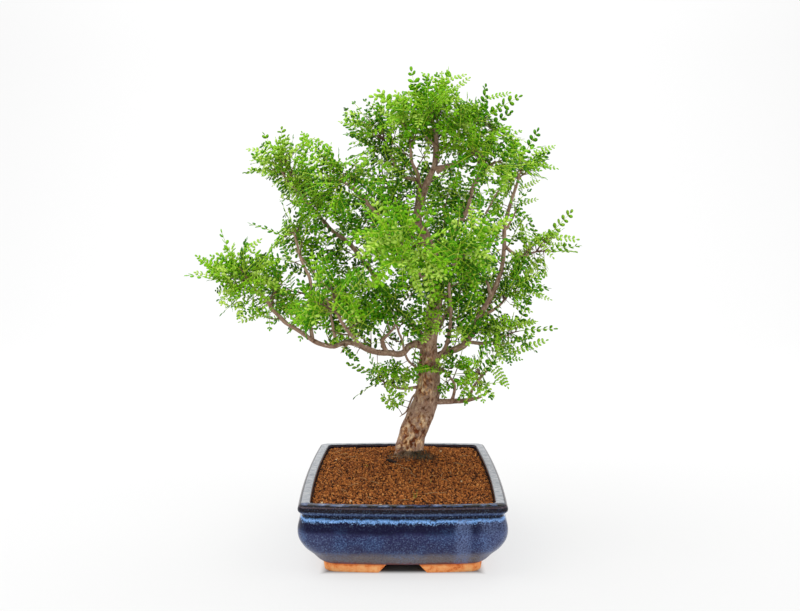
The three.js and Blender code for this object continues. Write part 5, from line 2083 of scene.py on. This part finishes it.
@dataclass
class Clearings:
    """Where the crown is open, seen from the front: gaps right through it, and wood that no leaf
    hides. In mm."""

    gap_depth: float = 60
    wood_margin: float = 1
    row_step: float = 0.2
    twig_spacing: float = 6
    shortest: float = 0.5

    def windows(self) -> Array:
        """Works out the discs, square to the view, that leaves keep out of.

        Returns:
            Rows (x, y, z, radius, the depth that the disc clears up to).
        """
        rows = [(*VIEW.place(x, y, self.gap_depth), radius, np.inf) for x, y, radius in GAP_SPOTS]
        for name, first, last in BARE_RUNS:
            places = np.array(TRUNK if name == "trunk" else LIMBS[name], float)
            index = np.arange(first, last, self.row_step)
            run = [np.interp(index, np.arange(len(places)), column) for column in places.T]
            rows += [(x, y, z, radius + self.wood_margin, y) for x, y, z, radius in zip(*run)]
        for places in BARE_TWIGS:
            route = smooth_route(np.array(places, float), self.twig_spacing)
            rows += [(x, y, z, radius + self.wood_margin, y) for x, y, z, radius in route]
        return np.array(rows)

    def carried(self, points: Array, depth: float) -> tuple[Array, Array]:
        """Where the rays from the eye to points (..., 3) reach a depth, along X and Z."""
        eye = np.array(VIEW.eye)
        seen = eye + (points - eye) * (depth - eye[1]) / (points[..., 1:2] - eye[1])
        return seen[..., 0], seen[..., 2]

    def outside(self, points: Array) -> Array:
        """Tells which points are seen beyond the crown's outline: a ray to the right crosses it an
        even number of times.

        Args:
            points: places (..., 3).

        Returns:
            True where a point is beyond it.
        """
        x, z = self.carried(points, self.gap_depth)
        edge = [VIEW.place(*spot, self.gap_depth) for spot in EDGE_SPOTS]
        within = np.zeros(x.shape, bool)
        for (x0, _, z0), (x1, _, z1) in zip(edge, edge[1:] + edge[:1]):
            crossing = x0 + (z - z0) / (z1 - z0) * (x1 - x0)
            within ^= ((z0 > z) != (z1 > z)) & (x < crossing)
        return ~within

    def trimmed(self, leaves: Leaves) -> Leaves:
        """Shortens the leaves that reach into a clearing, and drops those that would be stumps.

        Args:
            leaves: the leaves.

        Returns:
            The leaves that are left.
        """
        shares = np.linspace(0.05, 1.05, 12)
        reach = leaves.length[:, None] * shares
        points = leaves.base[:, None] + leaves.along[:, None] * reach[..., None]
        shut = self.outside(points)
        for x, y, z, radius, back in self.windows():
            seen_x, seen_z = self.carried(points, y)
            near = np.hypot(seen_x - x, seen_z - z) < radius
            shut |= near & (points[..., 1] < back)
        free = np.where(shut.any(axis=1), shares[np.argmax(shut, axis=1)] - 0.1, 1.0)
        keep = free >= self.shortest
        left, free = leaves.chosen(keep), free[keep]
        left.length = left.length * free
        left.arch = left.arch * free
        left.pairs = np.maximum(np.round(left.pairs * free), 2).astype(int)
        return left


@dataclass
class Foliage:
    """Leafy sprays: each keeps its plain solid's twig and three leaves, and carries side shoots
    that fill its cloud, shoots of the bare limbs near it, and the tufts and long outer leaves that
    stand out at the front. Sizes are in mm and degrees."""

    plan: SprayPlan = field(default_factory=SprayPlan)
    shape: LeafShape = field(default_factory=LeafShape)
    clearings: Clearings = field(default_factory=Clearings)
    seed: int = 404
    leaf_length: float = 62
    leaf_arch: float = 9
    leaf_lift: float = 0.12
    turn_per_leaf: float = 137.5
    golden_share: float = 0.618034
    golden_angle: float = 2.399963
    cloud_share: float = 0.72
    shoots_per_spray: int = 6
    inner_spacing: float = 27
    limb_samples: int = 8
    tuft_stand_off: float = 14
    bare: tuple[str, ...] = ("low_left_small", "dark_twig", "low_right", "low_right_outer")
    clear_height: float = 300
    margin: float = 0.004
    age: float = 0.64
    young_age: float = 0.44
    # outer_paling: how much younger and paler leaves get towards the crown's sides, partly painted light.
    outer_paling: float = 0.42
    stations: tuple[tuple[float, ...], ...] = ((0.4, 0.66, 0.88, 1.0), (64, 58, 50, 12))
    leaf_finish: LeafFinish = LeafFinish()
    twig_finish: TwigFinish = TwigFinish()

    def leaves_on(
        self,
        shoots: Shoots,
        shares: Sequence[float],
        leans: Sequence[float],
        sizes: Sequence[float],
        rng: np.random.Generator,
    ) -> Leaves:
        """Leaves at the same shares of every shoot, each 137.5 degrees round from the last.

        Args:
            shoots: the twigs.
            shares: where the leaves stand on a twig.
            leans: how far each leans out, in degrees.
            sizes: each leaf's share of the full length.
            rng: the draws.

        Returns:
            The leaves.
        """
        share = np.array(shares)
        count, each = len(shoots.turn), len(share)
        base = bent(shoots.start, shoots.knee, shoots.end, share)
        way = bent_way(shoots.start, shoots.knee, shoots.end, share)
        turn = np.radians(shoots.turn[:, None] + self.turn_per_leaf * np.arange(each)[None])
        out = turned(square_to(way), way, turn[..., None])
        lean = np.radians(np.array(leans))[None] + rng.normal(0, 0.15, (count, each))
        along = way * np.cos(lean)[..., None] + out * np.sin(lean)[..., None]
        along = unit(along + (self.leaf_lift + rng.normal(0, 0.08, (count, each, 1))) * UP)
        front = np.array([0, -0.7, 0.8])
        facing = shoots.outward[:, None] * 0.8 + 0.4 * out + front + rng.normal(0, 0.3, out.shape)
        length = self.leaf_length * np.array(sizes)[None] * rng.uniform(0.82, 1.08, (count, each))
        shoot_age = shoots.age + np.where(rng.random(count) < 0.26, -0.34, 0.13)
        shoot_age = shoot_age + rng.normal(0, 0.08, count)
        age = shoot_age[:, None] - 0.3 * (share[None] - 0.6) + rng.normal(0, 0.1, (count, each))
        pairs = np.clip(np.round(length / 9.8 + rng.normal(0, 0.6, length.shape)), 3, 6)
        total = count * each
        return Leaves(
            base.reshape(total, 3),
            along.reshape(total, 3),
            facing.reshape(total, 3),
            length.ravel(),
            (length * rng.uniform(0.04, 0.26, length.shape)).ravel(),
            age.ravel(),
            pairs.astype(int).ravel(),
        )

    def own_leaves(self, spray: Spray, age: float) -> Leaves:
        """The three leaves that the spray's plain solid has, in the same places.

        Args:
            spray: the spray.
            age: the age of its leaves.

        Returns:
            The leaves.
        """
        share = np.array([1.0, 0.72, 0.4])
        lean = np.radians([14.0, 52.0, 60.0])[:, None]
        curve = (spray.foot[None], spray.knee[None], spray.tip[None])
        way = bent_way(*curve, share)[0]
        turn = np.radians(spray.roll + self.turn_per_leaf * np.arange(3))[:, None]
        out = turned(square_to(way), way, turn)
        along = unit(way * np.cos(lean) + out * np.sin(lean) + self.leaf_lift * UP)
        return Leaves(
            bent(*curve, share)[0],
            along,
            spray.outward + 0.4 * out + UP,
            self.leaf_length * np.array([1.06, 1.06, 0.98]),
            np.full(3, self.leaf_arch),
            age + np.array([-0.2, 0.0, 0.1]),
            np.full(3, 5),
        )

    def targets(self, cloud: Cloud, rng: np.random.Generator) -> Array:
        """Spreads places through a cloud: a golden-angle spiral over balls of radius (i / n)^(1/3).

        Args:
            cloud: the cloud.
            rng: the draws.

        Returns:
            Places, as rows (x, y, z).
        """
        count = cloud.sprays * self.shoots_per_spray
        index = np.arange(count) + 0.5
        height = 1 - 2 * ((index * self.golden_share) % 1)
        angle = index * self.golden_angle + rng.uniform(0, 6.28)
        flat = np.sqrt(1 - height**2)
        ball = np.stack([flat * np.cos(angle), flat * np.sin(angle), height], axis=-1)
        ball = ball * ((index / count) ** (1 / 3))[:, None] + rng.normal(0, 0.07, (count, 3))
        return np.array(cloud.middle) + ball * np.array(cloud.half) * self.cloud_share

    def side_shoots(self, spray: Spray, ends: Array, age: float, rng: np.random.Generator) -> Shoots:
        """Side shoots of a spray's twig, which lean forward as they leave it.

        Args:
            spray: the spray.
            ends: where they end, as rows (x, y, z).
            age: the age of the spray's leaves.
            rng: the draws.

        Returns:
            The shoots.
        """
        share = np.linspace(0.08, 0.95, 24)
        curve = bent(spray.foot[None], spray.knee[None], spray.tip[None], share)[0]
        away = np.linalg.norm(ends[:, None] - curve[None], axis=2)
        nearest = share[np.argmin(away, axis=1)]
        from_share = np.maximum(nearest - 0.22, 0.06)
        start = np.stack([np.interp(from_share, share, curve[:, axis]) for axis in range(3)], axis=-1)
        middle = 0.5 * (start + ends) + rng.normal(0, 6.5, ends.shape)
        middle[:, 2] += 0.12 * np.linalg.norm(ends - start, axis=1)
        count = len(ends)
        outward = unit(unit(ends - np.array(self.plan.crown_middle)) + spray.outward)
        # Leaves high in their cloud and towards the crown's sides are made younger and paler: partly
        # young growth, partly painted light on the crown's outside.
        ages = np.full(count, age) - 0.1 * (ends[:, 2] - spray.cloud.middle[2]) / spray.cloud.half[2]
        ages = ages - self.outer_paling * np.clip(np.abs(ends[:, 0]) / 280, 0, 1)
        return Shoots(start, middle, ends, rng.uniform(0, 360, count), ages, outward)

    def shoots_to(self, ends: Array, rng: np.random.Generator) -> Shoots:
        """Shoots that start at the nearest wood and are bowed a little upwards.

        Args:
            ends: where they end, as rows (x, y, z).
            rng: the draws.

        Returns:
            The shoots.
        """
        routes = [*LIMBS.values(), TRUNK[3:]]
        wood = np.concatenate([smooth_route(np.array(route, float), 6)[:, :3] for route in routes])
        away = np.linalg.norm(ends[:, None] - wood[None], axis=2)
        start = wood[np.argmin(away, axis=1)]
        middle = 0.5 * (start + ends) + rng.normal(0, 2.5, ends.shape)
        middle[:, 2] += 0.12 * away.min(axis=1)
        count = len(ends)
        outward = 0.3 * unit(ends - np.array(self.plan.crown_middle)) + np.array([0, -1, 0.35])
        ages = rng.uniform(0.3, 0.75, count)
        return Shoots(start, middle, ends, rng.uniform(0, 360, count), ages, outward)

    def tuft_places(self) -> Array:
        """Works out where the tufts stand. Where a row of TUFT_SPOTS has no depth, the tuft stands
        in front of the limb that is nearest to the spot in the picture.

        Returns:
            Places, as rows (x, y, z).
        """
        share = np.arange(self.limb_samples)[:, None] / self.limb_samples
        routes = [np.array(route, float)[:, :3] for route in (TRUNK[3:], *LIMBS.values())]
        wood = np.concatenate(
            [
                start + (end - start) * share
                for route in routes
                for start, end in zip(route[:-1], route[1:])
            ]
        )
        seen = VIEW.seen(wood)
        rows = []
        for x, y, *depth in TUFT_SPOTS:
            nearest = wood[np.argmin(((seen - np.array([x, y])) ** 2).sum(axis=1))]
            rows.append(VIEW.place(x, y, depth[0] if depth else nearest[1] - self.tuft_stand_off))
        return np.array(rows)

    def tufts(self, rng: np.random.Generator) -> Growth:
        """Short dense shoots, four small leaves to each, that end at the tufts' places."""
        shoots = self.shoots_to(self.tuft_places(), rng)
        shares, leans, sizes = (0.62, 0.8, 0.94, 1.0), (64, 58, 44, 14), (0.5, 0.56, 0.58, 0.62)
        return Growth(shoots, self.leaves_on(shoots, shares, leans, sizes, rng), 0.7)

    def fronds(self, rng: np.random.Generator) -> Growth:
        """Long pale leaves at the crown's edge, from root to tip as the rows of FROND_SPOTS say. A
        steep one turns its upper side to the front.

        Args:
            rng: the draws.

        Returns:
            The leaves and the shoots that bear them.
        """
        rows = np.array([VIEW.place(*row[:3]) + VIEW.place(*row[3:]) for row in FROND_SPOTS])
        root, tip = rows[:, :3], rows[:, 3:]
        length = np.linalg.norm(tip - root, axis=1)
        steep = np.abs(tip - root)[:, 2:] > 0.75 * length[:, None]
        facing = np.where(steep, np.array([0, -1, 0.3]), np.array([0, -0.85, 0.6]))
        arch = 0.14 * length
        along = unit(tip - root + facing * arch[:, None])
        pairs = np.clip(np.round(length / 7.5), 3, 8).astype(int)
        ages = rng.uniform(0.05, 0.5, len(rows))
        leaves = Leaves(root, along, facing, length, arch, ages, pairs)
        return Growth(self.shoots_to(root, rng), leaves, 0.6, trimmed=False)

    def inner_growth(self, rng: np.random.Generator) -> Growth:
        """Shoots that stand round the limbs themselves, inside the crown. Low ones all rise. Their leaves
        are old and dark: partly old leaves, partly painted shade inside the crown.

        Args:
            rng: the draws.

        Returns:
            The shoots and their leaves.
        """
        starts, ways = [], []
        for name, places in LIMBS.items():
            if name in self.bare:
                continue
            route = smooth_route(np.array(places, float), self.inner_spacing)[1:]
            starts.append(route[:, :3])
            ways.append(unit(np.gradient(route[:, :3], axis=0)))
        upper = smooth_route(np.array(TRUNK[6:], float), 16)
        starts.append(upper[:, :3])
        ways.append(unit(np.gradient(upper[:, :3], axis=0)))
        start, way = np.concatenate(starts), np.concatenate(ways)
        count = len(start)
        turn = np.radians(self.turn_per_leaf * np.arange(count))[:, None]
        out = turned(square_to(way), way, turn)
        heading = 0.55 * way + out + np.array([0, 0, 0.45])
        low = start[:, 2] < self.clear_height
        heading[low, 2] = np.abs(heading[low, 2]) + 0.3
        heading = unit(heading)
        reach = rng.uniform(26, 62, (count, 1))
        end = start + heading * reach
        knee = start + 0.5 * heading * reach + rng.normal(0, 3.5, (count, 3))
        knee[:, 2] -= 0.08 * reach[:, 0]
        outward = unit(end - np.array(self.plan.crown_middle))
        # Old, dark age for the inner shoots: partly old leaves, partly painted shade deep in the crown.
        shoots = Shoots(start, knee, end, rng.uniform(0, 360, count), np.full(count, 0.86), outward)
        return Growth(shoots, self.leaves_on(shoots, *self.stations, (0.7, 0.85, 0.95, 0.9), rng), 1.1)

    def greened(self, skin: Skin, count: int, rings: int) -> Skin:
        """Gives twigs the look of brown wood at the root and of a green shoot at the tip.

        Args:
            skin: the twigs' skin.
            count: how many twigs it has.
            rings: how many rings a twig has.

        Returns:
            The same skin.
        """
        ages = np.clip(np.linspace(2.2, 0.2, rings), 0, 1)
        sides = len(skin.points) // count // rings
        each = np.concatenate([np.repeat(ages, sides), ages[[0, -1]]])
        skin.look = np.tile(each, count)[:, None] * np.array([1.0, 0, 0])
        return skin

    def inside(self, leaves: Leaves, low: Array, high: Array) -> Leaves:
        """The leaves whose ends stay in a box."""
        ends = leaves.base + leaves.along * leaves.length[:, None] * 1.08
        keep = ((ends > low) & (ends < high)).all(axis=1)
        return leaves.chosen(keep)

    def build(self) -> None:
        """Makes every spray in place of its plain solid."""
        rng = np.random.default_rng(self.seed)
        low, high = (np.array(corner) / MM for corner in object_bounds())
        room = self.margin * (high - low)
        low, high = low - room, high + room
        sprays = self.plan.sprays()
        finishes = {
            slot: [self.leaf_finish.build(f"{slot}_blades"), self.twig_finish.build(f"{slot}_twigs")]
            for slot in ("leaf", "young_leaf")
        }
        inner = self.inner_growth(rng)
        inner = inner.chosen(~self.clearings.outside(inner.twigs.end))
        shared = [inner, self.tufts(rng), self.fronds(rng)]
        centres = np.array([spray.tip * 0.5 + spray.foot * 0.5 for spray in sprays])
        hosts = [
            np.argmin(np.linalg.norm(growth.twigs.end[:, None] - centres[None], axis=2), axis=1)
            for growth in shared
        ]
        for cloud in CLOUDS:
            mine = [index for index, spray in enumerate(sprays) if spray.cloud is cloud]
            ends = self.targets(cloud, rng)
            ends = ends[~self.clearings.outside(ends)]
            middles = np.array([sprays[i].tip * 0.6 + sprays[i].foot * 0.4 for i in mine])
            owner = np.argmin(np.linalg.norm(ends[:, None] - middles[None], axis=2), axis=1)
            for place, index in enumerate(mine):
                spray = sprays[index]
                age = self.young_age if cloud.young else self.age
                growths = [growth.chosen(host == index) for growth, host in zip(shared, hosts)]
                if (owner == place).any():
                    side = self.side_shoots(spray, ends[owner == place], age, rng)
                    sizes = (0.72, 0.85, 0.9, 0.86)
                    growths.append(Growth(side, self.leaves_on(side, *self.stations, sizes, rng), 0.9))
                self.dress(spray, growths, age, (low, high), finishes, rng)

    def dress(
        self,
        spray: Spray,
        growths: list[Growth],
        age: float,
        limits: tuple[Array, Array],
        finishes: dict[str, list[bpy.types.Material]],
        rng: np.random.Generator,
    ) -> None:
        """Makes one spray.

        Args:
            spray: its plan.
            growths: what it carries besides its own twig and leaves.
            age: the age of its leaves.
            limits: the lowest and highest corner that leaves keep to.
            finishes: the finishes of each slot.
            rng: the draws.
        """
        main = Shoots(
            spray.foot[None], spray.knee[None], spray.tip[None],
            np.array([spray.roll + 60]), np.array([age]), spray.outward[None],
        )  # fmt: skip
        groups = [self.leaves_on(main, (0.25, 0.55, 0.86), (66, 60, 52), (0.8, 0.9, 0.85), rng)]
        whole = [self.own_leaves(spray, age)]
        twigs = []
        for growth in growths:
            if len(growth.twigs.turn):
                (groups if growth.trimmed else whole).append(growth.leaves)
                shoots = growth.twigs
                paths = bent(shoots.start, shoots.knee, shoots.end, np.linspace(0, 1, 6))
                radii = growth.radius * np.linspace(1.0, 0.5, 6)[None] * np.ones((len(paths), 1))
                twigs.append(self.greened(tubes(paths * MM, radii * MM, 4, 1), len(paths), 6))
        path = bent(main.start, main.knee, main.end, np.linspace(0, 1, 12))
        radii = np.linspace(1.8, 0.9, 12)[None]
        twigs.append(tubes(path * MM, radii * MM, 8, 1, np.array([1.0, 0, 0])))
        open_crown = self.clearings.trimmed(Leaves.joined(groups))
        leaves = self.inside(Leaves.joined([*whole, open_crown]), *limits)
        slot = "young_leaf" if spray.cloud.young else "leaf"
        skins = [*self.shape.skins(leaves, rng), *twigs]
        piece = make_piece(spray.name.replace("spray", "leafy_spray"), skins, finishes[slot])
        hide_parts(spray.name)


# Studio


@dataclass
class Studio:
    """Camera, a pale floor that glows as if lit from below, with a painted shadow under the pot where
    the glow fades out, and soft light, in metres and degrees.
    """

    floor_tone: str = "808080"
    floor_glow: float = 0.655
    pot_half_x: float = 0.11
    pot_half_y: float = 0.166
    shade_reach: float = 0.018
    floor_half: float = 6.0
    floor_front: float = 6.0
    floor_back: float = 2.4
    sweep_radius: float = 1.6
    backdrop_top: float = 6.0
    world_strength: float = 0.96
    subject: tuple[float, float, float] = (0, 0, 0.35)
    key: tuple[float, float, float] = (-1.5, -0.5, 2.5)
    key_size: float = 2.2
    key_watts: float = 32
    fill: tuple[float, float, float] = (1.9, -1.0, 1.8)
    fill_size: float = 1.6
    fill_watts: float = 13
    wash: tuple[float, float, float] = (0, 1.6, 3.4)
    wash_aim: tuple[float, float, float] = (0, 4.0, 1.2)
    wash_size: float = 3.0
    wash_watts: float = 104

    def camera(self) -> None:
        """Sets the camera at the photograph's angle."""
        data = bpy.data.cameras.new("studio_camera")
        data.lens = VIEW.lens
        data.sensor_width = VIEW.sensor
        data.clip_end = 50
        camera = bpy.data.objects.new("studio_camera", data)
        camera.location = [place * MM for place in VIEW.eye]
        camera.rotation_euler = (math.radians(90 - VIEW.pitch), 0, 0)
        bpy.context.scene.collection.objects.link(camera)
        bpy.context.scene.camera = camera

    def floor(self) -> None:
        """A floor that sweeps up into a backdrop: a quarter circle joins the two. Its glow fades out
        over the pot's footprint, which gives a painted shadow under the pot.
        """
        turn = np.radians(np.linspace(0, 90, 25))
        radius, top = self.sweep_radius, self.backdrop_top
        sweep = self.floor_back + radius * np.sin(turn)
        y = np.concatenate([[-self.floor_front], sweep, [self.floor_back + radius]])
        z = np.concatenate([[0.0], radius * (1 - np.cos(turn)), [top]])
        x = np.array([-self.floor_half, self.floor_half])
        points = np.stack(np.broadcast_arrays(x[None], y[:, None], z[:, None]), axis=-1)
        mesh = bpy.data.meshes.new("studio_floor")
        faces = grid_faces(len(y), 2, closed=False)
        mesh.from_pydata(points.reshape(-1, 3).tolist(), [], faces.tolist())
        mesh.shade_smooth()
        board = Board("pale_floor", 0.9, 0.1)
        board.shader.inputs["Base Color"].default_value = tone(self.floor_tone)
        board.shader.inputs["Emission Color"].default_value = (1, 1, 1, 1)
        across, back, _ = board.parts(board.place)
        # Painted shadow under the pot: the glow is 0 over the pot's footprint and rises over shade_reach
        # outside it.
        off_pot = board.math("MAXIMUM", abs(across) - self.pot_half_x, abs(back) - self.pot_half_y)
        away = board.span(off_pot, 0.0, self.shade_reach, smooth=True)
        board.feed(board.shader.inputs["Emission Strength"], away * self.floor_glow)
        mesh.materials.append(board.material)
        floor = bpy.data.objects.new("studio_floor", mesh)
        bpy.context.scene.collection.objects.link(floor)
        floor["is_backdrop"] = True

    def area(
        self, name: str, place: Sequence[float], target: Sequence[float], size: float, watts: float
    ) -> None:
        """Sets up a square lamp that looks at a target.

        Args:
            name: the lamp's name.
            place: where it stands, in metres.
            target: where it looks, in metres.
            size: its side in metres.
            watts: its strength.
        """
        data = bpy.data.lights.new(name, "AREA")
        data.size = size
        data.energy = watts
        lamp = bpy.data.objects.new(name, data)
        lamp.location = place
        aim = np.array(target) - np.array(place)
        flat = math.hypot(aim[0], aim[1])
        lamp.rotation_euler = (math.atan2(flat, -aim[2]), 0, math.atan2(-aim[0], aim[1]))
        bpy.context.scene.collection.objects.link(lamp)

    def build(self) -> None:
        """Sets up the whole studio."""
        world = bpy.data.worlds.new("soft_white")
        world.use_nodes = True
        nodes, links = world.node_tree.nodes, world.node_tree.links
        background = nodes["Background"]
        background.inputs["Color"].default_value = (1, 1, 1, 1)
        background.inputs["Strength"].default_value = self.world_strength
        seen = nodes.new("ShaderNodeBackground")
        choice = nodes.new("ShaderNodeMixShader")
        links.new(nodes.new("ShaderNodeLightPath").outputs["Is Camera Ray"], choice.inputs["Fac"])
        links.new(background.outputs[0], choice.inputs[1])
        seen.inputs["Color"].default_value = (1, 1, 1, 1)
        links.new(seen.outputs[0], choice.inputs[2])
        links.new(choice.outputs[0], nodes["World Output"].inputs["Surface"])
        bpy.context.scene.world = world
        bpy.context.scene.view_settings.view_transform = "Standard"
        self.camera()
        self.floor()
        self.area("key_lamp", self.key, self.subject, self.key_size, self.key_watts)
        self.area("fill_lamp", self.fill, self.subject, self.fill_size, self.fill_watts)
        self.area("backdrop_lamp", self.wash, self.wash_aim, self.wash_size, self.wash_watts)


def dress_screens() -> None:
    """Gives the plastic drainage screens, whose solids stay, their finish."""
    finish = PlainFinish("2a2c2b", "161817", 900, 0.6).build("screen_plastic")
    for name in ("drain_screen_front", "drain_screen_back"):
        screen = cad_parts[name]
        screen.data.materials.clear()
        screen.data.materials.append(finish)
        log.info("%s: carried over", name)


def main() -> None:
    """Builds the studio and the plant."""
    logging.basicConfig(level=logging.INFO, format="%(name)s: %(message)s")
    Studio().build()
    pot = GlazedPot()
    pot.build()
    SoilBed(pot).build()
    dress_screens()
    Tree().build()
    Foliage().build()


if __name__ == "__main__":
    main()
